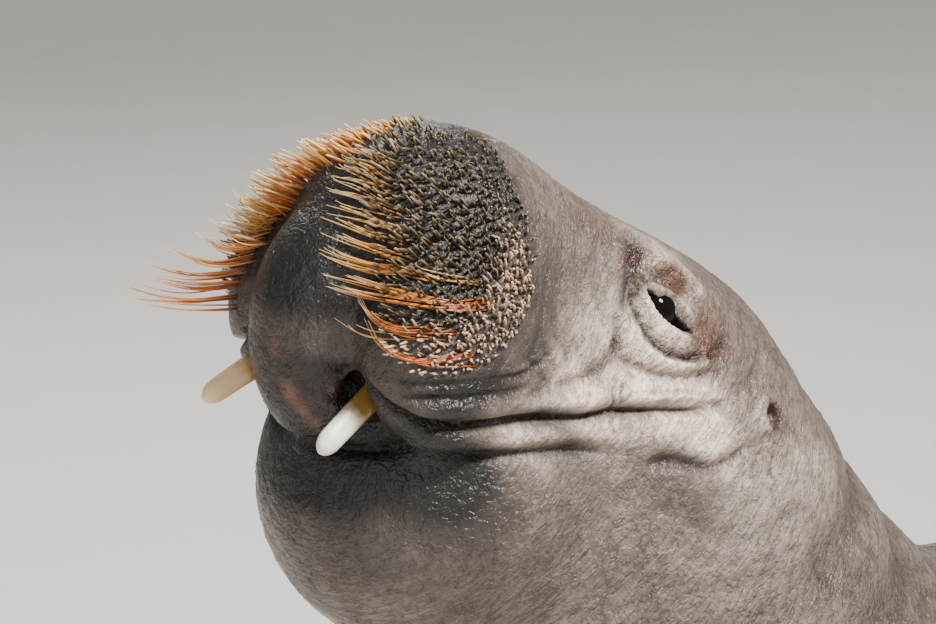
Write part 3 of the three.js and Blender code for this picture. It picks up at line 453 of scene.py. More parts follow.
def pitted_field(p):
    """The skin with its ears, nostrils and tusk sockets."""
    d = body_field(p)
    near = (p[:, 2] > EYE_HEIGHT - PIT_REACH) & (np.abs(d) < 40)
    if near.any():
        h = world_to_head(p[near])
        h[:, 0] = np.abs(h[:, 0])
        carved = d[near]
        for c, r, pitch, yaw in PITS:
            carved = -smin(-carved, lump(h, c, r, pitch, yaw), 4)
        d[near] = carved
    return d


def gradient(field, p, e=0.6):
    out = np.empty_like(p)
    for i in range(3):
        step = np.zeros(3)
        step[i] = e
        out[:, i] = (field(p + step) - field(p - step)) / (2 * e)
    return out


def unit(v):
    return v / np.maximum(np.linalg.norm(v, axis=-1, keepdims=True), 1e-9)


def settled(field, p, steps=3):
    """Points moved onto the field's zero level."""
    p = np.array(p, float)
    for _ in range(steps):
        g = gradient(field, p)
        d = np.clip(field(p), -15, 15)
        p -= g * (d / np.maximum((g * g).sum(1), 0.05))[:, None]
    return p


def beside(at, axis, da, db):
    """The cell next to each grid edge along an axis, moved by da and db on the next two axes."""
    cell = at.copy()
    for i, move in ((axis, 1), ((axis + 1) % 3, da), ((axis + 2) % 3, db)):
        cell[:, i] += move
    return cell


def sampled(field, lo, step, n):
    """The field on a grid: exact near its zero level, from a rough grid elsewhere."""
    m = n // GRID_COARSE + 2
    axes = [lo[i] + step * GRID_COARSE * np.arange(m[i]) for i in range(3)]
    v = field(np.stack(np.meshgrid(*axes, indexing="ij"), -1).reshape(-1, 3)).reshape(m)
    for i in range(3):
        t = np.arange(n[i]) / GRID_COARSE
        k = t.astype(int)
        w = (t - k).reshape([-1 if j == i else 1 for j in range(3)])
        v = np.take(v, k, i) * (1 - w) + np.take(v, k + 1, i) * w
    near = np.argwhere(np.abs(v) < step * GRID_COARSE * 1.1)
    v[tuple(near.T)] = field(lo + near * step)
    return v


def netted(field, lo, hi, step):
    """A closed mesh of field = 0 on a grid: one point in each cell that the surface passes."""
    lo = np.asarray(lo, float)
    n = np.ceil((np.asarray(hi, float) - lo) / step).astype(int) + 1
    v = sampled(field, lo, step, n)
    inside = v < 0
    total = np.zeros((*(n + 1), 3))
    count = np.zeros(n + 1)
    crossings = []
    for axis in range(3):
        a, b = (tuple(cut if j == axis else slice(None) for j in range(3))
                for cut in (slice(0, -1), slice(1, None)))
        passes = inside[a] != inside[b]
        at = np.argwhere(passes)
        va, vb = v[a][passes], v[b][passes]
        point = at.astype(float)
        point[:, axis] += va / (va - vb)
        crossings.append((at, va < 0))
        for da, db in CORNERS[axis]:
            cell = tuple(beside(at, axis, da, db).T)
            np.add.at(total, cell, point)
            np.add.at(count, cell, 1)
    used = count > 0
    number = np.full(n + 1, -1)
    number[used] = np.arange(used.sum())
    points = lo + step * total[used] / count[used][:, None]
    quads = []
    for axis, (at, first_inside) in enumerate(crossings):
        quad = np.stack([number[tuple(beside(at, axis, da, db).T)] for da, db in RING], 1)
        quad[~first_inside] = quad[~first_inside][:, ::-1]
        quads.append(quad)
    quads = np.concatenate(quads)
    return points, np.concatenate([quads[:, :3], quads[:, [0, 2, 3]]])


def edges_of(faces, count):
    """Each edge once as two point numbers, and for each face its three edges."""
    pairs = np.sort(np.stack([faces, np.roll(faces, -1, 1)], -1), -1).reshape(-1, 2)
    keys, back = np.unique(pairs[:, 0] * count + pairs[:, 1], return_inverse=True)
    return np.stack([keys // count, keys % count], 1), back.reshape(-1, 3)


def relaxed(points, faces, field, rounds):
    """Points slid towards the middle of their neighbours, along the surface."""
    edges, _ = edges_of(faces, len(points))
    a = np.concatenate([edges[:, 0], edges[:, 1]])
    b = np.concatenate([edges[:, 1], edges[:, 0]])
    near = np.bincount(a, minlength=len(points))
    for _ in range(rounds):
        mean = np.stack([np.bincount(a, points[b, i], len(points)) / near for i in range(3)], 1)
        n = unit(gradient(field, points))
        move = mean - points
        points = points + 0.6 * (move - (move * n).sum(1, keepdims=True) * n)
        points = settled(field, points, 1)
    return points


def refined(points, faces, field, size, rounds):
    """Splits each edge that is longer than the wanted size there."""
    for _ in range(rounds):
        edges, of_face = edges_of(faces, len(points))
        middle = points[edges].mean(1)
        long = np.linalg.norm(points[edges[:, 0]] - points[edges[:, 1]], axis=1) > SPLIT_AT * size(middle)
        number = np.full(len(edges), -1)
        number[long] = len(points) + np.arange(long.sum())
        points = np.concatenate([points, settled(field, middle[long], 2)])
        mids = number[of_face]
        count = (mids >= 0).sum(1)
        out = [faces[count == 0]]
        (a, b, c), (d, e, f) = faces[count == 3].T, mids[count == 3].T
        out += [np.stack(three, 1) for three in ((a, d, f), (d, b, e), (f, e, c), (d, e, f))]
        for wanted, first in ((1, True), (2, False)):
            chosen = count == wanted
            t, m = faces[chosen], mids[chosen]
            turn = ((m >= 0) == first).argmax(1)[:, None]
            t = np.take_along_axis(t, (np.arange(3) + turn) % 3, 1)
            m = np.take_along_axis(m, (np.arange(3) + turn) % 3, 1)
            (a, b, c), (d, e, f) = t.T, m.T
            sets = ((a, d, c), (d, b, c)) if first else ((a, b, e), (a, e, f), (f, e, c))
            out += [np.stack(three, 1) for three in sets]
        faces = np.concatenate(out)
        points = relaxed(points, faces, field, 1)
    return points, faces


def hashed(i, seed):
    """A number from -1 to 1 for each whole place, always the same for a seed."""
    h = i[..., 0] * 374761393 + i[..., 1] * 668265263 + i[..., 2] * 1442695041 + seed * 974634777
    h = h & 0xFFFFFFFF
    h = ((h ^ (h >> 13)) * 1274126177) & 0xFFFFFFFF
    return ((h ^ (h >> 16)) & 0xFFFF) / 32767.5 - 1.0


def noise(p, size, seed=0):
    """Smooth value noise from -1 to 1 with lumps about that size."""
    q = p / size
    i = np.floor(q).astype(np.int64)
    w = q - i
    w = w * w * (3 - 2 * w)
    total = 0.0
    for corner in np.ndindex(2, 2, 2):
        c = np.array(corner)
        share = np.prod(np.where(c, w, 1 - w), axis=-1)
        total = total + share * hashed(i + c, seed)
    return total


def blob(h, at, size):
    """1 at a place in the head's frame, falling off smoothly over its size."""
    q = (h - np.asarray(at, float)) / np.asarray(size, float)
    return np.exp(-(q * q).sum(-1))


def near_line(h, points):
    """Distance from a line, and the share of the way along it."""
    points = np.asarray(points, float)
    reach = np.append(0, np.cumsum(np.linalg.norm(np.diff(points, axis=0), axis=1)))
    best, share = np.full(len(h), 1e3), np.zeros(len(h))
    close = ((h > points.min(0) - 18) & (h < points.max(0) + 18)).all(1)
    q = h[close]
    off, at = np.full(len(q), 1e3), np.zeros(len(q))
    for i, (a, b) in enumerate(zip(points, points[1:])):
        t, d = along(q, a, b)
        closer = d < off
        off[closer] = d[closer]
        at[closer] = (reach[i] + t[closer] * (reach[i + 1] - reach[i])) / reach[-1]
    best[close], share[close] = off, at
    return best, share


def traced(points):
    """A fold's line, smooth and moved onto the skin."""
    run = smooth_run(points, 4 * (len(points) - 1))
    return world_to_head(settled(body_field, head_to_world(run), 5))


LINES = [(traced(points), width, depth, dark) for points, width, depth, dark in FOLDS]
SLIT_LINE = traced(SLIT)


def mirrored_head(p):
    h = world_to_head(p)
    h[:, 0] = np.abs(h[:, 0])
    return h


def skin_size(p):
    """Wanted edge length of the skin's mesh, in mm."""
    h = mirrored_head(p)
    back = np.maximum(0, -60 - h[:, 1])
    size = np.minimum(4.4 + back * 0.035, 12.0)
    below = EYE_HEIGHT - PIT_REACH - p[:, 2]
    size = np.where(below > 0, np.minimum(7.0 + below * 0.05, 12.0), size)
    size = np.where((p[:, 2] < 60) & (np.abs(p[:, 0]) > 200), 6.0, size)
    for line, width, _, _ in LINES:
        past = np.maximum(0, near_line(h, line)[0] - 2.2 * width)
        size = np.minimum(size, max(1.2, 0.75 * width) + 0.3 * past)
    size = np.minimum(size, 0.8 + 0.22 * np.maximum(0, near_line(h, SLIT_LINE)[0] - SLIT_HALF - 1.5))
    for at, reach, fine in (((98, -96, 0), 14, 2.0), ((15, 146, -4), 15, 2.0), ((46, 116, -162), 24, 2.4)):
        past = np.maximum(0, np.linalg.norm(h - np.array(at), axis=1) - reach)
        size = np.minimum(size, fine + past * 0.15)
    return size


def linked(name, data):
    """An object of a mesh, lamp or camera, in the scene."""
    made = bpy.data.objects.new(name, data)
    bpy.context.scene.collection.objects.link(made)
    return made


def mesh_object(name, points, faces, material):
    """A smooth mesh object from points in mm."""
    mesh = bpy.data.meshes.new(name)
    mesh.from_pydata((np.asarray(points) / 1000).tolist(), [], np.asarray(faces).tolist())
    mesh.update()
    mesh.shade_smooth()
    mesh.materials.append(material)
    return linked(name, mesh)


def set_values(mesh, name, values):
    """Stores one number for each point."""
    mesh.attributes.new(name, "FLOAT", "POINT").data.foreach_set("value", np.asarray(values, np.float32))


def read(items, key, width=1, kind=np.float32):
    """One property of all points, corners or values of a mesh."""
    values = np.zeros(len(items) * width, kind)
    items.foreach_get(key, values)
    return values


def feed(tree, made, feeds):
    """Sets a node's inputs: a socket is linked, and a plain value is set on the input itself."""
    for key, value in feeds.items():
        if isinstance(value, bpy.types.NodeSocket):
            tree.links.new(value, made.inputs[key])
        else:
            made.inputs[key].default_value = value


def node(tree, kind, feeds=None, **settings):
    """Adds a node with its properties and inputs."""
    made = tree.nodes.new(kind)
    for key, value in settings.items():
        setattr(made, key, value)
    feed(tree, made, feeds or {})
    return made


def new_material(name):
    material = bpy.data.materials.new(name)
    material.use_nodes = True
    return material, material.node_tree


def shown(material, feeds):
    """The material, with these inputs of its shader."""
    tree = material.node_tree
    feed(tree, tree.nodes["Principled BSDF"], feeds)
    return material


def stored(tree, name):
    """The number that the mesh stores under a name at each point."""
    return node(tree, "ShaderNodeAttribute", attribute_name=name).outputs["Fac"]


def own_place(tree):
    """Place in the piece's own axes, in metres."""
    return node(tree, "ShaderNodeTexCoord").outputs["Object"]


def cloud(tree, where, scale, detail, rough=0.5, bent=0.0, output="Fac"):
    """Soft noise from 0 to 1, with that many lumps to a metre."""
    feeds = {"Vector": where, "Scale": scale, "Detail": detail, "Roughness": rough, "Distortion": bent}
    return node(tree, "ShaderNodeTexNoise", feeds).outputs[output]


def maths(tree, operation, *values):
    return node(tree, "ShaderNodeMath", dict(enumerate(values)), operation=operation).outputs[0]


def ranged(tree, value, low, high, to_low=0.0, to_high=1.0):
    """A value carried from one range to another and kept inside it."""
    feeds = {"Value": value, "From Min": low, "From Max": high, "To Min": to_low, "To Max": to_high}
    return node(tree, "ShaderNodeMapRange", feeds).outputs["Result"]


def bumped(tree, height, strength, distance, below=None):
    """Relief of a height in metres, on top of the relief below it."""
    feeds = {"Height": height, "Strength": strength, "Distance": distance}
    if below is not None:
        feeds["Normal"] = below
    return node(tree, "ShaderNodeBump", feeds).outputs["Normal"]


def ramp(tree, source, *stops):
    """A colour ramp over a value; stops are (place, linear colour)."""
    made = node(tree, "ShaderNodeValToRGB", {0: source})
    elements = made.color_ramp.elements
    while len(elements) < len(stops):
        elements.new(0.5)
    for element, (place, value) in zip(elements, stops):
        element.position = place
        element.color = value
    return made.outputs["Color"]


def mixed(tree, share, a, b, blend="MIX"):
    """Mixes two colours, each a socket or a value."""
    return node(tree, "ShaderNodeMix", {0: share, 6: a, 7: b}, data_type="RGBA", blend_type=blend).outputs[2]


def skin_points():
    points, faces = netted(pitted_field, *SKIN_BOX, GRID_STEP)
    points = settled(pitted_field, points, 2)
    points = relaxed(points, faces, pitted_field, 2)
    return refined(points, faces, pitted_field, skin_size, 4)


def fold_relief(h):
    """Depth of the folds, painted shade in creases and in the eye's slit, painted highlight on rolls, and
    where the eye is open.
    """
    depth, crease, roll_highlight = np.zeros(len(h)), np.zeros(len(h)), np.zeros(len(h))
    for line, width, deep, dark in LINES:
        off, share = near_line(h, line)
        ends = held(np.minimum(share, 1 - share) / 0.14)
        bell = np.exp(-(off / (width * 1.6)) ** 2) * ends * (2 - ends)
        depth += deep * bell
        if deep > 0:
            core = 0.7 * np.exp(-(off / (width * 1.05)) ** 2) + 0.3 * np.exp(-(off / (width * 2.2)) ** 2)
            # painted shade in the crease, as dark as the fold's darkness
            crease = np.maximum(crease, core * ends * dark)
        else:
            # a roll is painted paler along its crest, a painted highlight
            roll_highlight = np.maximum(roll_highlight, bell)
    off, share = near_line(h, SLIT_LINE)
    opening = 0.7 + SLIT_HALF * np.sin(math.pi * held(share)) ** 0.7
    slit = held((1.25 - off / opening) / 0.4)
    slit = slit * slit * (3 - 2 * slit)
    depth = depth * (1 - slit) + 11 * slit
    # The eye's slit is painted black as shade, within the crease shade
    return depth, np.maximum(crease, held(4 * slit)), roll_highlight, slit


def trunk_share(p):
    """Share of the way along the trunk, from behind the head to the tail, and the angle round it."""
    f, z = -p[:, 1] - EYE_FORWARD, p[:, 2]
    best = np.full(len(p), 1e18)
    share = np.zeros(len(p))
    up = np.zeros(len(p))
    for i, (a, b) in enumerate(zip(TRUNK_LINE, TRUNK_LINE[1:])):
        d = b - a
        t = held(((f - a[0]) * d[0] + (z - a[1]) * d[1]) / (d @ d))
        off = (f - a[0] - t * d[0]) ** 2 + (z - a[1] - t * d[1]) ** 2
        closer = off < best
        best[closer] = off[closer]
        share[closer] = (i + t[closer]) / SPINE_STEPS
        way = np.array([-d[1], d[0]]) / np.linalg.norm(d)
        side = (f - a[0]) * way[0] + (z - a[1]) * way[1]
        up[closer] = -side[closer]
    return share, np.arctan2(p[:, 0], up)


def body_folds(p):
    """Depth of the soft rolls across the nape, throat and flanks."""
    share, angle = trunk_share(p)
    in_head = held((world_to_head(p)[:, 1] + 60) / 60)
    at = share * 100 + 1.2 * noise(p, 160, 3) + 0.5 * noise(p, 60, 4)
    depth = np.zeros(len(p))
    for place, width, deep, turn in BODY_FOLDS:
        spread = sum(held(1.15 - np.abs(angle - way) / 1.5) for way in (turn, -turn))
        depth += deep * np.exp(-((at - place) / width) ** 2) * held(spread)
    return depth * (1 - in_head)


def wrinkles(p, h):
    """Depth of the fine net of wrinkles, finer and shallower towards the face."""
    back = held((-h[:, 1] - 40) / 120)
    calm = held((p[:, 2] - 12) / 25)
    net = np.zeros(len(p))
    for size, deep, seed in ((34, 1.6, 11), (17, 0.9, 12), (9, 0.45, 13)):
        shares = back if size > 20 else 0.45 + 0.55 * back
        stretched = p * np.array([1.0, 0.7, 1.3])
        net += deep * shares * np.exp(-(noise(stretched, size, seed) / 0.16) ** 2)
    near_eye = blob(h, (80, -4, -20), (26, 42, 32))
    net += 0.7 * near_eye * np.exp(-(noise(p, 5, 14) / 0.2) ** 2)
    smooth = 1 - 0.9 * held((h[:, 1] - 80) / 40)
    return net * calm * smooth


def skin_relief():
    """Points, faces and markings of the whole skin, with painted shade in its creases and painted highlight
    on its rolls.
    """
    points, faces = skin_points()
    normal = unit(gradient(pitted_field, points))
    h = mirrored_head(points)
    in_head = points[:, 2] > EYE_HEIGHT - FOLD_REACH
    relief = np.zeros((4, len(points)))
    relief[:, in_head] = fold_relief(h[in_head])
    depth, crease, roll_highlight, slit = relief
    rolls = body_folds(points)
    net = wrinkles(points, h)
    marks = markings(points)
    # Painted shade also in the body's rolls and the fine wrinkles
    crease = np.maximum(crease, held(rolls / 8) * 0.6)
    # The eye's slit painted black in the dark marking too, as painted shade
    marks["dark"] = np.maximum(marks["dark"], held(4 * slit))
    marks["crease"] = np.maximum(crease, held(net / 2.2) * 0.55)
    # Painted highlight on the head's rolls, added to the pale painted sheen
    marks["pale"] = held(marks["pale"] + 0.45 * roll_highlight * (1 - marks["dark"]))
    flat = held(points[:, 2] / 14)
    points = points - normal * ((depth + rolls + net) * flat)[:, None]
    points[:, 2] = np.maximum(points[:, 2], 0.0)
    return points, faces, marks


def pad_rear(u):
    """How far forward the whisker pads begin at a height, both in the head's frame."""
    return 99 + np.where(u > -72, 0.0124, 0.0056) * (u + 72) ** 2


def stub_share(ahead, u):
    """Share of the worn pale stubs of a pad's rear, from the place past its edge and the height."""
    return held((36 - ahead) / 14) * held((-34 - u) / 20)


def patches(h, places):
    """Sum of soft patches: share, centre, size."""
    return sum(share * blob(h, at, size) for share, at, size in places)


def markings(p):
    """Share of each marking of the hide at points in mm, for skin and coat alike; dark is dark hide and
    painted shade, pale is a painted highlight of a wet sheen.
    """
    h = mirrored_head(p)
    f, u = h[:, 1], h[:, 2]
    soft = 0.5 * noise(p, 40, 21) + 0.3 * noise(p, 16, 22) + 0.2 * noise(p, 7, 23)
    ahead = f - pad_rear(u)
    pad = held((ahead + 9 + 9 * soft) / 15) * held((u + 190) / 20)
    # Painted shade in a band behind the whisker pad
    painted_shade_band = 0.42 * np.exp(-((ahead + 16) / 16) ** 2) * held((u + 165) / 20)
    # Dark hide with painted shade: the pad, the painted shade band and the dark patches
    dark = held(pad + painted_shade_band + patches(h, DARK_AND_SHADE_PATCHES) * (1 + 0.3 * soft))
    dark = dark * (1 - patches(h, (OLIVE_PATCH,)) * (1 + soft)) * (1 - 0.35 * pad * stub_share(ahead, u))
    rust = patches(h, RUST_PATCHES) * (1 + 0.5 * soft)
    # Painted highlight of a wet sheen
    pale = patches(h, SHEEN_HIGHLIGHT_PATCHES) * (1 + 0.6 * soft)
    share, angle = trunk_share(p)
    belly = held(np.abs(angle) / math.pi * 2 - 1)
    brown = 0.3 + 0.5 * soft + 0.35 * belly * held(share * 3) + 0.2 * held(share * 4)
    flipper = held((np.abs(p[:, 0]) - 250) / 120) * held((160 - p[:, 2]) / 80)
    dark = np.maximum(dark, 0.6 * flipper)
    rust = rust + 0.3 * belly * held(share * 4)
    pink = patches(h, PINK_PATCHES) * np.clip(1 + 1.6 * noise(p, 7, 24), 0, 2)
    return {name: held(v) for name, v in
            (("dark", dark), ("rust", rust), ("pale", pale * (1 - dark)), ("brown", brown), ("pink", pink))}


def hide_colour(tree, props):
    """The hide's colour from its markings, painted shade and painted sheen highlight among them, with a
    mottle of a few millimetres to some centimetres.
    """
    where = own_place(tree)
    mottle, blotch, fine = (cloud(tree, where, *plan) for plan in
                            ((22.0, 6.0, 0.62), (70.0, 4.0, 0.6), (230.0, 4.0, 0.7)))
    spread = ramp(tree, mottle, (0.3, BLACK), (0.7, WHITE))
    r, g, b = props.hide
    base = mixed(tree, spread, (r * 0.72, g * 0.68, b * 0.63, 1), (r * 1.38, g * 1.36, b * 1.36, 1))
    # Dark hide with painted shade and the pale painted sheen highlight go in with the brown, rust and pink
    for name in ("brown", "pale", "rust", "dark", "pink"):
        base = mixed(tree, stored(tree, name), base, shade(getattr(props, name)))
    for source, low, high in ((blotch, 0.76, 1.2), (fine, 0.7, 1.24)):
        gain = ramp(tree, source, (0.3, shade(WHITE, low)), (0.5, WHITE), (0.7, (high, high, high, 1)))
        base = mixed(tree, 1.0, base, gain, "MULTIPLY")
    return base, where, fine


def hide_material(props):
    """Short-haired hide, wet: satin over a net of fine cracks, glossier in patches."""
    material, tree = new_material("wet_short_haired_hide")
    base, where, fine = hide_colour(tree, props)
    dark = stored(tree, "dark")
    bare = maths(tree, "SUBTRACT", 1.0, dark)
    # Fine folds across the head and neck, some 5 mm apart and a few centimetres long, with painted shade
    # along their lines
    turn = (math.radians(180 - HEAD_PITCH), 0, 0)
    axes = node(tree, "ShaderNodeMapping", {"Vector": where, "Rotation": turn, "Scale": (1.0, 0.2, 1.0)},
                vector_type="TEXTURE")
    across = cloud(tree, axes.outputs[0], 40.0, 3.0, 0.6, 0.5)
    line = ranged(tree, maths(tree, "ABSOLUTE", maths(tree, "SUBTRACT", across, 0.5)), 0.0, 0.07)
    tint = mixed(tree, line, (0.62, 0.58, 0.55, 1), WHITE)
    base = mixed(tree, 1.0, base, mixed(tree, bare, WHITE, tint), "MULTIPLY")
    # Painted shade in the creases, the rolls, the wrinkles and the eye's slit
    deep = mixed(tree, stored(tree, "crease"), WHITE, (0.06, 0.045, 0.04, 1))
    base = mixed(tree, 1.0, base, deep, "MULTIPLY")
    relief = bumped(tree, line, maths(tree, "MULTIPLY", bare, 0.55), 0.0012)
    # Cracks about 5 mm apart, as in a walrus's hide, grain of some 7 mm, and pores of about a millimetre
    warp = node(tree, "ShaderNodeVectorMath", {0: cloud(tree, where, 60.0, 2.0, output="Color"),
                                               "Scale": 0.012}, operation="SCALE")
    moved = node(tree, "ShaderNodeVectorMath", {0: where, 1: warp.outputs[0]}, operation="ADD")
    cells = node(tree, "ShaderNodeTexVoronoi", {"Vector": moved.outputs[0], "Scale": 190.0},
                 feature="DISTANCE_TO_EDGE")
    for height, strength, distance in ((ranged(tree, cells.outputs["Distance"], 0.0, 0.14), 0.45, 0.0007),
                                       (cloud(tree, where, 150.0, 3.0, 0.6), 0.75, 0.0035),
                                       (fine, 0.55, 0.0011)):
        relief = bumped(tree, height, strength, distance, relief)
    # Wetter in patches of some centimetres
    rough = ranged(tree, cloud(tree, where, 34.0, 3.0), 0.35, 0.65, 0.34, 0.56)
    film = ranged(tree, dark, 0.0, 1.0, 0.28, 0.14)
    return shown(material, {"Base Color": base, "Roughness": rough, "IOR": 1.42, "Normal": relief,
                            "Coat Weight": film, "Coat Roughness": 0.24, "Coat Normal": relief})


def pad_exit(ways, middle):
    """Where rays from inside a whisker pad leave the skin, in the head's frame."""
    near, far = np.full(len(ways), 10.0), np.full(len(ways), 150.0)
    for _ in range(22):
        mid = (near + far) / 2
        inside = body_field(head_to_world(middle + ways * mid[:, None])) < 0
        near, far = np.where(inside, mid, near), np.where(inside, far, mid)
    return middle + ways * near[:, None]


def tusk_distance(h):
    q = h.copy()
    q[:, 0] = np.abs(q[:, 0])
    a, b, _, d = TUSK_PATH
    return np.minimum(along(q, a, b)[1], along(q, b, d)[1])


def head_normal(h):
    return unit(gradient(lambda q: body_field(head_to_world(q)), h, 1.5))


def bristle_roots(side, gap, rng):
    """Places on one pad at least a gap apart, in the head's frame."""
    n = PAD_RAYS
    a = rng.uniform(-1.3, 2.3, n)
    b = np.arcsin(rng.uniform(-0.97, 0.97, n))
    ways = np.stack([np.sin(a) * np.cos(b) * side, np.cos(a) * np.cos(b), np.sin(b)], 1)
    root = pad_exit(ways, PAD_MIDDLE * [side, 1, 1])
    x, f, u = root[:, 0] * side, root[:, 1], root[:, 2]
    inner = np.interp(u, (-152, -140, -120, -100, -90, -80, -70), (78, 70, 55, 38, 28, 18, 1.5))
    keep = (x > inner) & ((x > NOSE_HALF - 5) | (u < -24)) & (u < -6) & (u > -152)
    keep &= f > pad_rear(u) + 1.5 * rng.standard_normal(n)
    keep &= (tusk_distance(root) > 14) & ((u > -106) | (x > 88) | (rng.random(n) < 0.5))
    room = gap * (1 - 0.22 * stub_share(f - pad_rear(u), u))
    taken = np.empty((0, 3))
    for point, least in zip(root[keep], room[keep]):
        if not len(taken) or ((taken - point) ** 2).sum(1).min() > least * least:
            taken = np.vstack([taken, point])
    return taken


def kept_out(p, room):
    """Points of the head's frame, moved so that they stay that far off the skin."""
    return p + head_normal(p) * np.clip(room - body_field(head_to_world(p)), 0, 9)[:, None]


def bristle_lines(side, props, rng):
    """Short bristles that cover one pad: lines in world mm and each one's colour share."""
    root = bristle_roots(side, props.gap * 1000, rng)
    n = len(root)
    u = root[:, 2]
    ahead = root[:, 1] - pad_rear(u)
    far = side < 0
    length = props.shortest * 1000 + 6 * held(ahead / 48) * np.clip((-24 - u) / 40, 0.15, 1)
    length += 13 * far * held((ahead - 34) / 30) * held((-48 - u) / 40)
    length = length * np.clip(1 + 0.25 * rng.standard_normal(n), 0.5, 1.5)
    normal = head_normal(root)
    wander = 0.2 * rng.standard_normal((n, 3))
    forward = turned((-0.5 if far else -0.25, 1.0, 0.05))
    start = unit(normal + forward * 0.35 + wander)
    end = unit(normal * 0.6 + forward * (0.9 if far else 0.55) + turned((0, 0, 0.25)) + wander)
    steps = 4
    lines = [root - normal * 4.0, root]
    _, group = np.unique(np.floor(root / 6.0), axis=0, return_inverse=True)
    group = group.ravel()
    for i in range(1, steps + 1):
        step = unit(start + (end - start) * (i / steps)) * (length / steps)[:, None]
        lines.append(kept_out(lines[-1] + step, np.minimum(1.0, length * i / steps * 0.5)))
    # Wet ones draw together
    for i in range(2, steps + 2):
        mean = np.stack([np.bincount(group, lines[i][:, k]) / np.bincount(group) for k in range(3)], 1)
        lines[i] = lines[i] + (mean[group] - lines[i]) * 0.5 * (i - 1) / steps
    rear = stub_share(ahead, u)
    front = held((ahead - 44) / 24)
    warm = 0.02 + 0.2 * rear + (0.72 if far else 0.05) * front
    warm += (0.12 if far else 0.03 + 0.07 * rear) * rng.standard_normal(n)
    return head_to_world(np.stack(lines, 1)), held(warm), root


def clump_lines(path, count, rng, steps=11):
    """Long wet whiskers of one clump, drawn together along a path in the head's frame."""
    run = smooth_run(path, 40)
    off = rng.standard_normal((count, 3)) * 2.4
    bend = rng.standard_normal((count, 3)) * 1.3
    most = 0.62 + 0.38 * rng.random(count)
    most[0] = 1.0
    root = world_to_head(settled(body_field, head_to_world(run[0] + off), 3))
    lines = [root - head_normal(root) * 4.0, root]
    curl = turned((0, 0.3, 1.0)) * 4.5
    for i in range(1, steps + 1):
        share = i / steps * most
        at = np.stack([np.interp(share * 40, np.arange(41), run[:, k]) for k in range(3)], 1)
        free = 1 - i / steps
        at += (root - run[0]) * free ** 1.4 + off * 0.4 * (1 - free) + bend * free * (1 - free) * 3
        at += curl * ((i / steps) ** 3 - 0.9 * free * (1 - free)) * most[:, None]
        lines.append(kept_out(at, np.full(count, 1.0 + 2.0 * i / steps)))
    return np.stack(lines, 1)


def whisker_lines(side, rng):
    """Long whiskers of one pad in world mm, with each one's root and colour share."""
    lines, warm = [], []
    if side > 0:
        clumps = NEAR_CLUMPS
    else:
        out, rise = turned((-0.62, 0.79, 0.0)), turned((-0.24, -0.19, 0.95))
        clumps = [((at, at + out * reach * 0.5 - rise * 2.0, at + out * reach + rise * lift), count, share)
                  for at, reach, lift, count, share in FAR_CLUMPS]
    for path, count, share in clumps:
        lines.append(clump_lines(path, count, rng))
        warm.append(np.clip(share + 0.1 * rng.standard_normal(count), 0.3, 1))
    lines = np.concatenate(lines)
    return head_to_world(lines), np.concatenate(warm), lines[:, 1]


def new_tree(name, *inputs):
    """A tree of geometry nodes with its named inputs; each is a name, a type and its settings."""
    tree = bpy.data.node_groups.new(name, "GeometryNodeTree")
    for label, kind, settings in (("Geometry", "Geometry", {}), *inputs, ("Material", "Material", {})):
        socket = tree.interface.new_socket(label, in_out="INPUT", socket_type="NodeSocket" + kind)
        for key, value in settings.items():
            setattr(socket, key, value)
    tree.interface.new_socket("Geometry", in_out="OUTPUT", socket_type="NodeSocketGeometry")
    return tree, node(tree, "NodeGroupInput").outputs


def closed_tree(tree, geometry, material):
    """Ends a tree: real geometry, smooth, in its material."""
    for kind in ("GeometryNodeRealizeInstances", "GeometryNodeSetShadeSmooth"):
        geometry = node(tree, kind, {"Geometry": geometry}).outputs[0]
    painted = node(tree, "GeometryNodeSetMaterial", {"Geometry": geometry, "Material": material})
    node(tree, "NodeGroupOutput", {"Geometry": painted.outputs[0]})
    return tree


def strands_tree():
    """Geometry nodes that turn lines into tapered strands."""
    tree, given = new_tree("strands", ("Sides", "Int", {"default_value": 5, "min_value": 3}),
                           ("Thickness", "Float", {"default_value": 1.0}))
    curve = node(tree, "GeometryNodeMeshToCurve", {"Mesh": given["Geometry"]}).outputs[0]
    thick = node(tree, "GeometryNodeInputNamedAttribute", {"Name": "thick"}, data_type="FLOAT").outputs[0]
    wide = maths(tree, "MULTIPLY", thick, given["Thickness"])
    sized = node(tree, "GeometryNodeSetCurveRadius", {"Curve": curve, "Radius": wide}).outputs[0]
    ring = node(tree, "GeometryNodeCurvePrimitiveCircle", {"Resolution": given["Sides"], "Radius": 1.0})
    swept = node(tree, "GeometryNodeCurveToMesh",
                 {"Curve": sized, "Profile Curve": ring.outputs["Curve"], "Fill Caps": True})
    if "Scale" in swept.inputs:
        feed(tree, swept, {"Scale": node(tree, "GeometryNodeInputRadius").outputs[0]})
    return closed_tree(tree, swept.outputs[0], given["Material"])


def domes_tree():
    """Geometry nodes that set a small round dome on each point."""
    tree, given = new_tree("domes", ("Radius", "Float", {"default_value": 0.002, "subtype": "DISTANCE"}),
                           ("Spread", "Float", {"default_value": 0.25}), ("Seed", "Int", {}))
    ball = node(tree, "GeometryNodeMeshIcoSphere", {"Radius": given["Radius"], "Subdivisions": 2})
    least, most = (maths(tree, way, 1.0, given["Spread"]) for way in ("SUBTRACT", "ADD"))
    scale = node(tree, "FunctionNodeRandomValue", {2: least, 3: most, "Seed": given["Seed"]},
                 data_type="FLOAT")
    placed = node(tree, "GeometryNodeInstanceOnPoints",
                  {"Points": given["Geometry"], "Instance": ball.outputs["Mesh"], "Scale": scale.outputs[1]})
    return closed_tree(tree, placed.outputs[0], given["Material"])


TREES = {"strands": strands_tree, "domes": domes_tree}


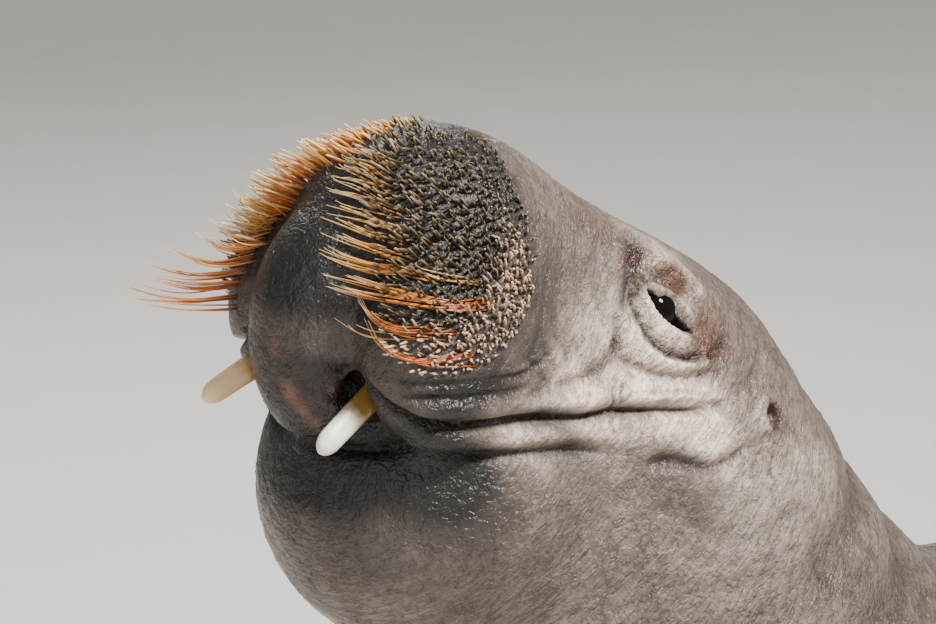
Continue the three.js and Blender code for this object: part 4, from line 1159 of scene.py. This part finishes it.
def grown(name, points, edges, values, tree_name, settings):
    """A plain mesh that a tree of geometry nodes makes of points in mm, edges and values."""
    mesh = bpy.data.meshes.new(name + "_source")
    mesh.from_pydata((points / 1000).tolist(), edges, [])
    for key, value in values.items():
        set_values(mesh, key, value)
    source = linked(name + "_source", mesh)
    tree = bpy.data.node_groups.get(tree_name) or TREES[tree_name]()
    modifier = source.modifiers.new("grow", "NODES")
    modifier.node_group = tree
    for item in tree.interface.items_tree:
        if item.item_type == "SOCKET" and item.in_out == "INPUT" and item.name in settings:
            modifier[item.identifier] = settings[item.name]
    graph = bpy.context.evaluated_depsgraph_get()
    made = bpy.data.meshes.new_from_object(source.evaluated_get(graph), preserve_all_data_layers=True,
                                           depsgraph=graph)
    made.name = name
    source.modifiers.clear()
    bpy.data.objects.remove(source)
    return linked(name, made)


def strands(name, lines, thick, values, material, sides):
    """One mesh of tapered strands: lines (n, k, 3) and thick (n, k) in mm, values one for each strand."""
    n, k, _ = lines.shape
    first = np.arange(n)[:, None] * k + np.arange(k - 1)[None, :]
    edges = np.stack([first, first + 1], -1).reshape(-1, 2).tolist()
    each = {"thick": thick.ravel() / 1000, "along": np.tile(np.linspace(0, 1, k), n)}
    each.update((key, np.repeat(value, k)) for key, value in values.items())
    return grown(name, lines.reshape(-1, 3), edges, each, "strands",
                 {"Sides": sides, "Thickness": 1.0, "Material": material})


def domes(name, points, values, radius, material):
    """One mesh of small domes round points in mm."""
    return grown(name, points, [], values, "domes",
                 {"Radius": radius, "Spread": 0.25, "Seed": SEED, "Material": material})


def on_skin(count, weight, rng):
    """Random places on the finished skin, in mm, with its normals; weight is a share for each point."""
    mesh = bpy.data.objects["skin"].data
    points = read(mesh.vertices, "co", 3).reshape(-1, 3).astype(float) * 1000
    faces = read(mesh.loops, "vertex_index", kind=np.int32).reshape(-1, 3)
    crease = read(mesh.attributes["crease"].data, "value")
    p = points[faces]
    normal = np.cross(p[:, 1] - p[:, 0], p[:, 2] - p[:, 0])
    area = np.linalg.norm(normal, axis=1)
    # Fewer tufts where the painted crease shade is deep
    share = area * weight(p.mean(1)) * (1 - crease[faces].mean(1)) ** 2
    face = rng.choice(len(faces), count, p=share / share.sum())
    r = np.sqrt(rng.random((count, 1)))
    s = rng.random((count, 1))
    at = p[face, 0] * (1 - r) + p[face, 1] * r * (1 - s) + p[face, 2] * r * s
    return at, unit(normal[face])


def unwrapped(p, of_head):
    """Place of points on an unwrap of the skin: round the head or the trunk, and along it."""
    if of_head:
        h = world_to_head(p)
        around = np.arctan2(h[:, 0], h[:, 2] + 80)
        return 0.5 + 0.46 * around / math.pi, np.clip((h[:, 1] + 330) / 560, 0.01, 0.99)
    share, angle = trunk_share(p)
    out = held((np.abs(p[:, 0]) - 230) / 330)
    return 0.5 + 0.46 * angle / math.pi, held(0.02 + 0.94 * share + 0.03 * out)


def hair_lines(at, normal, length, rng):
    """Short hairs in tufts of three that lie towards the rear, as lines in mm."""
    h = world_to_head(at)
    on_head = held((h[:, 1:2] + 120) / 120)
    back = on_head * head_turn((0, -1.0, 0.1)) + (1 - on_head) * np.array([0, 1.0, -0.35])
    side = np.sign(at[:, :1]) * np.array([0.25, 0, 0])
    flow = back + side + 0.35 * np.stack([noise(at, 60, 51 + i) for i in range(3)], 1)
    flow = unit(flow - normal * (flow * normal).sum(1, keepdims=True))
    n = len(at)
    hair = np.repeat(np.arange(n), 3)
    spread = rng.standard_normal((3 * n, 3))
    spread -= normal[hair] * (spread * normal[hair]).sum(1, keepdims=True)
    root = at[hair] + spread * 0.7
    way = unit(flow[hair] + 0.3 * spread)
    long = (length * (0.75 + 0.5 * rng.random(n)))[hair] * (0.8 + 0.3 * rng.random(3 * n))
    lines = [root + way * (long * s)[:, None] + normal[hair] * (r * np.minimum(1, long / 7))[:, None]
             for s, r in ((-0.05, -0.8), (0.5, 0.55), (1.0, 0.7))]
    return np.stack(lines, 1), hair


def bake_map(piece, size=0.003):
    """The map OFBake: each strand a small patch at its root's place on an unwrap of the skin."""
    mesh = piece.data
    u, v, way = (read(mesh.attributes[name].data, "value") for name in ("root_u", "root_v", "along"))
    around = np.arange(len(u)) % 3 / 2
    place = np.stack([u + (around - 0.5) * size, v + (way - 0.5) * size], 1)
    corner = read(mesh.loops, "vertex_index", kind=np.int32)
    layer = mesh.uv_layers.new(name="OFBake")
    layer.data.foreach_set("uv", place[corner].astype(np.float32).ravel())
    mesh.uv_layers.active = layer


def hair_material(props):
    """Short hair with the hide's markings, painted shade and sheen among them, paler and drier towards its
    tips.
    """
    material, tree = new_material("short_body_hair")
    way = stored(tree, "along")
    light = ramp(tree, way, (0.0, (0.9, 0.9, 0.9, 1)), (1.0, (1.12, 1.11, 1.1, 1)))
    base = mixed(tree, 1.0, hide_colour(tree, props)[0], light, "MULTIPLY")
    base = mixed(tree, maths(tree, "MULTIPLY", way, 0.14), base, shade(props.hair_tip))
    return shown(material, {"Base Color": base, "Roughness": 0.5, "IOR": 1.55})


def whisker_material(props):
    """Keratin bristle: straw to orange, brown at the root and worn pale at the tip."""
    material, tree = new_material("whisker_keratin")
    warm, way = stored(tree, "warm"), stored(tree, "along")
    body = ramp(tree, warm, (0.0, shade(props.olive, 0.8)), (0.08, shade(props.olive)),
                (0.2, shade(props.stub)), (0.5, shade(props.straw)), (0.95, shade(props.orange)))
    past = maths(tree, "MULTIPLY_ADD", warm, 0.1, way)
    root = ramp(tree, past, (0.12, (0.14, 0.09, 0.06, 1)), (0.42, (0.6, 0.48, 0.38, 1)), (0.6, WHITE))
    body = mixed(tree, 1.0, body, root, "MULTIPLY")
    tip = maths(tree, "MULTIPLY", ranged(tree, way, 0.66, 1.0, 0.0, 0.7),
                ranged(tree, warm, 0.0, 0.4, 0.25, 1.0))
    body = mixed(tree, tip, body, shade(props.tip))
    return shown(material, {"Base Color": body, "Roughness": 0.36, "IOR": 1.55})


def plain_material(name, value, roughness, ior=1.5, scale=300.0, spread=0.25):
    """A finish that is faintly mottled and uneven, as horn and painted plaster are."""
    material, tree = new_material(name)
    mottle = cloud(tree, own_place(tree), scale, 4.0)
    body = mixed(tree, mottle, shade(value, 1 - spread), shade(value, 1 + spread))
    return shown(material, {"Base Color": body, "Normal": bumped(tree, mottle, 0.3, 0.0004),
                            "Roughness": roughness, "IOR": ior})


def ivory_material(props, stain):
    """Ivory, grown: cream with fine growth lines along it, ochre stain towards the lip, worn smooth."""
    material, tree = new_material(f"stained_ivory_{stain * 100:.0f}")
    blurred = maths(tree, "MULTIPLY_ADD", cloud(tree, own_place(tree), 90.0, 5.0), 0.3, stored(tree, "along"))
    lip = ranged(tree, blurred, 0.72, 0.88, 1.0, 0.0)
    lines = node(tree, "ShaderNodeTexNoise", {"W": stored(tree, "around"), "Scale": 26.0, "Detail": 3.0},
                 noise_dimensions="1D").outputs["Fac"]
    body = mixed(tree, lines, shade(props.ivory, 0.9), shade(props.ivory, 1.05))
    for share, tint in ((stain, props.ivory_warm), (lip, props.stain)):
        body = mixed(tree, share, body, shade(tint))
    return shown(material, {"Base Color": body, "Normal": bumped(tree, lines, 0.25, 0.0004),
                            "Roughness": 0.3, "IOR": 1.54, "Subsurface Weight": 0.12,
                            "Subsurface Radius": (0.004, 0.003, 0.002)})


def eye_material(props):
    """Cornea over a dark brown iris: very glossy and wet."""
    material, tree = new_material("wet_eye")
    out = stored(tree, "out")
    fibres = cloud(tree, own_place(tree), 900.0, 3.0)
    body = mixed(tree, fibres, shade(props.iris, 0.5), shade(props.iris, 1.5))
    body = mixed(tree, ramp(tree, out, (0.2, WHITE), (0.24, BLACK)), body, (0.004, 0.004, 0.004, 1))
    body = mixed(tree, ramp(tree, out, (0.42, BLACK), (0.5, WHITE)), body, shade(props.eye_white))
    return shown(material, {"Base Color": body, "Roughness": 0.05, "IOR": 1.376, "Specular IOR Level": 0.18})


def tube(rings):
    """Points and faces of a tube through rings of points (n, k, 3), with a point at each end."""
    n, k, _ = rings.shape
    points = np.vstack([rings.reshape(-1, 3), rings[0].mean(0), rings[-1].mean(0)])
    faces = []
    for i in range(n - 1):
        for j in range(k):
            a, b = i * k + j, i * k + (j + 1) % k
            faces += [(a, b, b + k), (a, b + k, a + k)]
    for j in range(k):
        c = (j + 1) % k
        faces += [(c, j, n * k), ((n - 1) * k + j, (n - 1) * k + c, n * k + 1)]
    return points, faces


def outward(points, faces):
    """The faces, turned if need be so that they point outwards."""
    p = np.asarray(points)[np.asarray(faces)]
    volume = np.einsum("ij,ij->i", p[:, 0], np.cross(p[:, 1], p[:, 2])).sum()
    return faces if volume > 0 else [tuple(reversed(face)) for face in faces]


def head_share(p):
    """Share of short hair on the face: none on the muzzle and lids."""
    h = mirrored_head(p)
    bare = held((h[:, 1] - 75) / 20) * (h[:, 2] > -165)
    lids = held(1.8 * blob(h, (76, 0, -5), (30, 40, 28)))
    bare = np.maximum(bare, np.clip((h[:, 1] + 50) / 60, 0, 0.9) * held((h[:, 0] - 30) / 20))
    return (h[:, 1] > -90) * (p[:, 2] > EYE_HEIGHT - COAT_REACH) * (1 - bare) * (1 - lids) * ~below_mouth(h)


def below_mouth(h):
    c, r, pitch, _ = CHIN
    return (h[:, 2] < -77 - 0.78 * h[:, 1]) | (lump(h, c, r, pitch) < 4)


def jaw_share(p):
    h = mirrored_head(p)
    pad = (h[:, 1] > pad_rear(h[:, 2]) - 4) * (h[:, 2] > -152) * (h[:, 0] > 30)
    tusk = tusk_distance(h) > 24
    return (h[:, 1] > -90) * (p[:, 2] > EYE_HEIGHT - COAT_REACH) * below_mouth(h) * (1 - pad) * tusk * 1.0


def neck_share(p):
    h = world_to_head(p)
    return (h[:, 1] <= -60) * held((p[:, 2] - EYE_HEIGHT + 430) / 120) * (p[:, 2] > 20)


def trunk_part(p):
    return (p[:, 2] > 25) * (p[:, 2] < EYE_HEIGHT - 250) * (np.abs(p[:, 0]) < 290)


def limb_share(p):
    rear = held((p[:, 1] - 300) / 200)
    return (p[:, 2] > 6) * ((np.abs(p[:, 0]) > 230) + rear) * (p[:, 2] < 330)


# Coat pieces: region, share of the tufts, share of the hair's length
COATS = (
    ("head", head_share, 0.14, 0.26), ("jaw", jaw_share, 0.22, 0.32), ("neck", neck_share, 0.5, 0.4),
    ("trunk", trunk_part, 1.0, 0.62), ("limbs", limb_share, 1.0, 0.5),
)


def ride(piece, slot, *nodes):
    """Places a finished piece on the walrus's one body."""
    if nodes:
        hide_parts(*nodes)
    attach(piece, "root")
    return piece


def length_prop(name, value, what):
    return bpy.props.FloatProperty(name=name, description=what, default=value, unit="LENGTH")


def colour_prop(name, text, what):
    return bpy.props.FloatVectorProperty(name=name, description=what, subtype="COLOR", size=3, min=0, max=1,
                                         default=colour(text)[:3])


class WalrusSizes(bpy.types.PropertyGroup):
    """Sizes that a user would change."""
    gap: length_prop("Bristle gap", 0.0029, "Least distance between bristles of a pad")
    shortest: length_prop("Shortest whisker", 0.004, "Length of the shortest, at the side")
    thick: length_prop("Whisker thickness", 0.00105, "Radius of a bristle at its root")
    follicle: length_prop("Follicle", 0.0016, "Radius of the dome round a whisker's root")
    hair: length_prop("Hair length", 0.008, "Length of the short body hair")
    tufts: bpy.props.IntProperty(name="Tufts", description="Tufts of short hair on each part of the coat",
                                 default=4600, min=1)


class WalrusColours(bpy.types.PropertyGroup):
    """Colours that a user would change."""
    hide: colour_prop("Hide", "#726760", "Grey-taupe of the wet hide")
    brown: colour_prop("Brown hide", "#5b4c43", "Brown of the body")
    # Painted highlight: the pale is a painted wet sheen on the cheek, lids and jaw
    pale: colour_prop("Pale hide", "#eedccd", "Cheek, lids and jaw")
    rust: colour_prop("Rust hide", "#5a3c2e", "Patches round the eye and in the ear")
    # Dark hide, with painted shade under the lips, on the chin and throat, behind the pads and in the eye's
    # slit
    dark: colour_prop("Dark hide", "#1d1a18", "Muzzle and chin")
    pink: colour_prop("Pink skin", "#85594f", "Stripe down the chin")
    stub: colour_prop("Bristle stubs", "#d3bbaf", "Short bristles at the back of the pads")
    olive: colour_prop("Olive bristle", "#4d4029", "Bristles over the middle of the pads")
    straw: colour_prop("Pale whisker", "#d6a650", "Upper whiskers")
    orange: colour_prop("Orange whisker", "#bf640f", "Lower whiskers")
    hair_tip: colour_prop("Hair tip", "#9a897b", "Worn ends of the short hair")
    tip: colour_prop("Whisker tip", "#ecd3a0", "Worn ends")
    ivory: colour_prop("Ivory", "#fdf8ea", "Tusks")
    ivory_warm: colour_prop("Warm ivory", "#e8b878", "The right tusk")
    stain: colour_prop("Ivory stain", "#8a6a2c", "Tusks at the lip")
    iris: colour_prop("Iris", "#0f0907", "Eyes")
    eye_white: colour_prop("Eye white", "#0d0908", "Round the iris")
    claw: colour_prop("Claw", "#3b302a", "Claws")
    floor: colour_prop("Floor", "#dedad4", "Floor of the stage")


class WALRUS_OT_skin(bpy.types.Operator):
    """Makes the one skin that stands for all the flesh"""
    bl_idname = "walrus.skin"
    bl_label = "Skin"

    def execute(self, context):
        points, faces, marks = skin_relief()
        piece = mesh_object("skin", points, faces, hide_material(context.scene.walrus_colours))
        for name, values in marks.items():
            set_values(piece.data, name, values)
        self.report({"INFO"}, f"{len(faces)} triangles")
        ride(piece, "hide", *FLESH)
        return {"FINISHED"}


def eyeball(side, turns=40, rings=24):
    """Rings of an eyeball in world mm, and each ring's angle from the gaze; the cornea bulges."""
    polar = np.linspace(0.02, math.pi - 0.02, rings)[:, None]
    turn = np.linspace(0, 2 * math.pi, turns, endpoint=False)[None, :]
    gaze = unit(np.array([side * 1.0, 0.12, 0.1]))
    across = unit(np.cross(gaze, [0, 0, 1.0]))
    above = np.cross(across, gaze)
    ball = (np.cos(polar)[..., None] * gaze
            + (np.sin(polar) * np.cos(turn))[..., None] * across
            + (np.sin(polar) * np.sin(turn))[..., None] * above)
    bulge = 1 + 0.05 * np.exp(-(polar / 0.55) ** 2)
    shape = head_to_world(np.array(EYEBALL) * [side, 1, 1] + ball * (EYEBALL_RADIUS * bulge)[..., None])
    return shape, np.append(np.repeat(polar.ravel() / math.pi, turns), [0.0, 1.0])


def tusk(side, count=44, turns=36):
    """Rings of a tusk in world mm, and each point's share along it and round it."""
    path = smooth_run(head_to_world([(x * side, f, u) for x, f, u in TUSK_PATH]), count)
    way = unit(np.gradient(path, axis=0))
    a = unit(np.array([side, 0, 0]) - way * way[:, :1] * side)
    b = np.cross(way, a)
    t = np.linspace(0, 1, count + 1)
    blunt = np.sqrt(np.clip(1 - (np.maximum(t - TUSK_BLUNT, 0) / 0.145) ** 2, 0.02, 1))
    r = (TUSK_RADII[0] + (TUSK_RADII[1] - TUSK_RADII[0]) * t) * blunt
    turn = np.linspace(0, 2 * math.pi, turns, endpoint=False)
    flute = 1 + 0.018 * np.cos(turn * 5 + 1) + 0.012 * np.cos(turn * 11)
    rings = (path[:, None] + (r[:, None] * np.cos(turn) * flute * TUSK_FLAT)[..., None] * a[:, None]
             + (r[:, None] * np.sin(turn) * flute)[..., None] * b[:, None])
    rings += 0.12 * np.stack([noise(rings, 9, 31 + i) for i in range(3)], -1)
    around = np.tile(np.abs(turn / math.pi - 1) * 2, count + 1)
    return rings, {"along": np.append(np.repeat(t, turns), [0, 1]), "around": np.append(around, [0, 0])}


def tubed(name, rings, values, material):
    """A closed piece through rings of points in mm, with its stored values."""
    points, faces = tube(rings)
    piece = mesh_object(name, points, outward(points, faces), material)
    for key, value in values.items():
        set_values(piece.data, key, value)
    return piece


class WALRUS_OT_eyes(bpy.types.Operator):
    """Makes the two eyeballs"""
    bl_idname = "walrus.eyes"
    bl_label = "Eyes"

    def execute(self, context):
        material = eye_material(context.scene.walrus_colours)
        for side, name in SIDES:
            rings, out = eyeball(side)
            ride(tubed(f"eyeball_{name}", rings, {"out": out}, material), "eye", f"eye_{name}")
        return {"FINISHED"}


class WALRUS_OT_tusks(bpy.types.Operator):
    """Makes the two tusks"""
    bl_idname = "walrus.tusks"
    bl_label = "Tusks"

    def execute(self, context):
        for (side, name), stain in zip(SIDES, TUSK_STAINS):
            material = ivory_material(context.scene.walrus_colours, stain)
            ride(tubed(f"ivory_{name}", *tusk(side), material), "ivory", f"tusk_{name}")
        return {"FINISHED"}


class WALRUS_OT_whiskers(bpy.types.Operator):
    """Makes the whiskers of both pads"""
    bl_idname = "walrus.whiskers"
    bl_label = "Whiskers"

    def execute(self, context):
        sizes = context.scene.walrus_sizes
        material = whisker_material(context.scene.walrus_colours)
        for side, name in SIDES:
            rng = np.random.default_rng(SEED + side)
            short = bristle_lines(side, sizes, rng)
            long = whisker_lines(side, rng)
            for kind, (lines, warm, root), gain, taper, sides in (("bristles", short, 1.0, 0.5, 5),
                                                                  ("whiskers", long, 0.66, 0.82, 6)):
                n, k, _ = lines.shape
                t = np.linspace(0, 1, k)[None, :]
                wide = sizes.thick * 1000 * gain
                thick = wide * (1 - taper * t ** 1.7) * (0.65 + 0.5 * rng.random((n, 1)))
                flat = unit(root - PAD_MIDDLE * [side, 1, 1])
                values = {"warm": warm, "root_u": 0.5 + 0.4 * np.arctan2(flat[:, 0] * side, flat[:, 1]) / 1.7,
                          "root_v": 0.5 + 0.42 * flat[:, 2]}
                piece = strands(f"{kind}_{name}", lines, thick, values, material, sides)
                bake_map(piece)
                ride(piece, None, f"whisker_pad_{name}")
                self.report({"INFO"}, f"{n} {kind}")
        return {"FINISHED"}


class WALRUS_OT_follicles(bpy.types.Operator):
    """Makes the domes of skin round the whiskers' roots"""
    bl_idname = "walrus.follicles"
    bl_label = "Follicles"

    def execute(self, context):
        sizes = context.scene.walrus_sizes
        material = bpy.data.materials["wet_short_haired_hide"]
        for side, name in SIDES:
            rng = np.random.default_rng(SEED + side)
            root = bristle_roots(side, sizes.gap * 1000, rng)
            world = head_to_world(root - head_normal(root) * 0.9)
            # The domes take the hide's markings with their painted shade and sheen, but no painted crease
            # shade, and a little less dark
            values = markings(world)
            values["crease"] = np.zeros(len(world))
            values["dark"] = values["dark"] * 0.85
            piece = domes(f"follicles_{name}", world, values, sizes.follicle, material)
            ride(piece, "muzzle_hide", f"whisker_pad_{name}")
        return {"FINISHED"}


class WALRUS_OT_coat(bpy.types.Operator):
    """Makes the tufts of short hair"""
    bl_idname = "walrus.coat"
    bl_label = "Short hair"

    def execute(self, context):
        sizes = context.scene.walrus_sizes
        material = hair_material(context.scene.walrus_colours)
        rng = np.random.default_rng(SEED)
        for name, region, count, long in COATS:
            at, normal = on_skin(int(sizes.tufts * count), region, rng)
            lines, hair = hair_lines(at, normal, sizes.hair * 1000 * long, rng)
            thick = (0.12 + 0.1 * long) * np.array([1.0, 0.85, 0.25]) * np.ones((len(lines), 1))
            u, v = unwrapped(at, name in ("head", "jaw"))
            # The hairs take the hide's markings at their roots, painted shade and sheen among them
            values = {key: value[hair] for key, value in markings(at).items()}
            values.update(root_u=u[hair], root_v=v[hair])
            piece = strands(f"coat_{name}", lines, thick, values, material, 3)
            bake_map(piece)
            ride(piece, "hide")
        return {"FINISHED"}


def claw_lines():
    """Middle lines of the claws, from inside the skin to the tip, in world mm."""
    lines = []
    for root, plan, back in ((WRIST, HAND, 26), (ANKLE, FOOT, 44)):
        for x, y, _, a in fan_tips(root, plan):
            ahead = np.array([math.cos(a), math.sin(a), 0])
            tip = np.array([x, y, 0]) - ahead * back
            base = np.array([tip[0], -(tip[1] + EYE_FORWARD), CLAW_TOP])
            down = base * np.ones((80, 1)) - np.array([0, 0, 0.75]) * np.arange(80)[:, None]
            base[2] = down[(body_field(down) < 0).argmax(), 2]
            way = np.array([ahead[0], -ahead[1], -0.12])
            lines.append([base + way * s + [0, 0, r] for s, r in CLAW_LINE])
    lines = np.array(lines)
    return np.concatenate([lines, lines * [-1, 1, 1]])


class WALRUS_OT_claws(bpy.types.Operator):
    """Makes the small claw of each digit"""
    bl_idname = "walrus.claws"
    bl_label = "Claws"

    def execute(self, context):
        material = plain_material("claw_keratin", context.scene.walrus_colours.claw, 0.35, ior=1.54)
        lines = claw_lines()
        thick = np.array(CLAW_RADII) * np.ones((len(lines), 1))
        ride(strands("claws", lines, thick, {}, material, 10), None)
        return {"FINISHED"}


def photo_camera():
    """The camera of the photograph: its way of looking, its distance and its framing of the head."""
    toward = Vector((math.sin(VIEW_AZIMUTH) * math.cos(VIEW_ELEVATION),
                     -math.cos(VIEW_AZIMUTH) * math.cos(VIEW_ELEVATION), math.sin(VIEW_ELEVATION)))
    right = Vector((math.cos(VIEW_AZIMUTH), math.sin(VIEW_AZIMUTH), 0))
    up = toward.cross(right)
    eye = Vector(head_to_world((EYE_OUT, 0, 0)) / 1000)
    target = eye - right * EYE_IN_FRAME[0] - up * EYE_IN_FRAME[1]
    camera = linked("camera", bpy.data.cameras.new("camera"))
    camera.data.lens = 36 * VIEW_DISTANCE / FRAME_WIDTH
    camera.location = target + toward * VIEW_DISTANCE
    camera.rotation_euler = (-toward).to_track_quat("-Z", "Y").to_euler()
    return camera


def studio_light(name, way, power, size, tint):
    light = bpy.data.lights.new(name, "AREA")
    light.energy, light.size, light.shape = power, size, "DISK"
    light.color = tint
    lamp = linked(name, light)
    lamp.location = Vector(LIT_POINT) + Vector(way) * LAMP_REACH
    lamp.rotation_euler = (Vector(LIT_POINT) - lamp.location).to_track_quat("-Z", "Y").to_euler()


class WALRUS_OT_stage(bpy.types.Operator):
    """Makes the floor, the lights and the camera"""
    bl_idname = "walrus.stage"
    bl_label = "Stage"

    def execute(self, context):
        scene = context.scene
        mesh = bpy.data.meshes.new("floor")
        corners = [(x * FLOOR_HALF, y * FLOOR_HALF, 0) for x, y in ((-1, -1), (1, -1), (1, 1), (-1, 1))]
        mesh.from_pydata(corners, [], [(0, 1, 2, 3)])
        mesh.materials.append(plain_material("painted_plaster_floor", scene.walrus_colours.floor, 0.8,
                                             spread=0.04, scale=14.0))
        floor = linked("floor", mesh)
        scene.camera = photo_camera()
        scene.world = bpy.data.worlds.new("studio")
        scene.world.use_nodes = True
        back = scene.world.node_tree.nodes["Background"]
        back.inputs["Color"].default_value = colour(BACKDROP)
        back.inputs["Strength"].default_value = BACKDROP_GAIN
        for lamp in LIGHTS:
            studio_light(*lamp)
        return {"FINISHED"}


class WALRUS_PT_panel(bpy.types.Panel):
    """Lists the pieces of the walrus"""
    bl_label = "Walrus"
    bl_space_type = "VIEW_3D"
    bl_region_type = "UI"
    bl_category = "Walrus"

    def draw(self, context):
        layout = self.layout
        for operator in OPERATORS:
            layout.operator(operator.bl_idname)
        for group in (context.scene.walrus_sizes, context.scene.walrus_colours):
            for key in group.__annotations__:
                layout.prop(group, key)

OPERATORS = (WALRUS_OT_skin, WALRUS_OT_eyes, WALRUS_OT_tusks, WALRUS_OT_whiskers, WALRUS_OT_follicles,
             WALRUS_OT_coat, WALRUS_OT_claws, WALRUS_OT_stage)
CLASSES = (WalrusSizes, WalrusColours, *OPERATORS, WALRUS_PT_panel)


def register():
    for item in CLASSES:
        bpy.utils.register_class(item)
    bpy.types.Scene.walrus_sizes = bpy.props.PointerProperty(type=WalrusSizes)
    bpy.types.Scene.walrus_colours = bpy.props.PointerProperty(type=WalrusColours)


def unregister():
    del bpy.types.Scene.walrus_colours
    del bpy.types.Scene.walrus_sizes
    for item in reversed(CLASSES):
        bpy.utils.unregister_class(item)


def main():
    register()
    for operator in OPERATORS:
        group, name = operator.bl_idname.split(".")
        getattr(getattr(bpy.ops, group), name)()


if __name__ == "__main__":
    main()
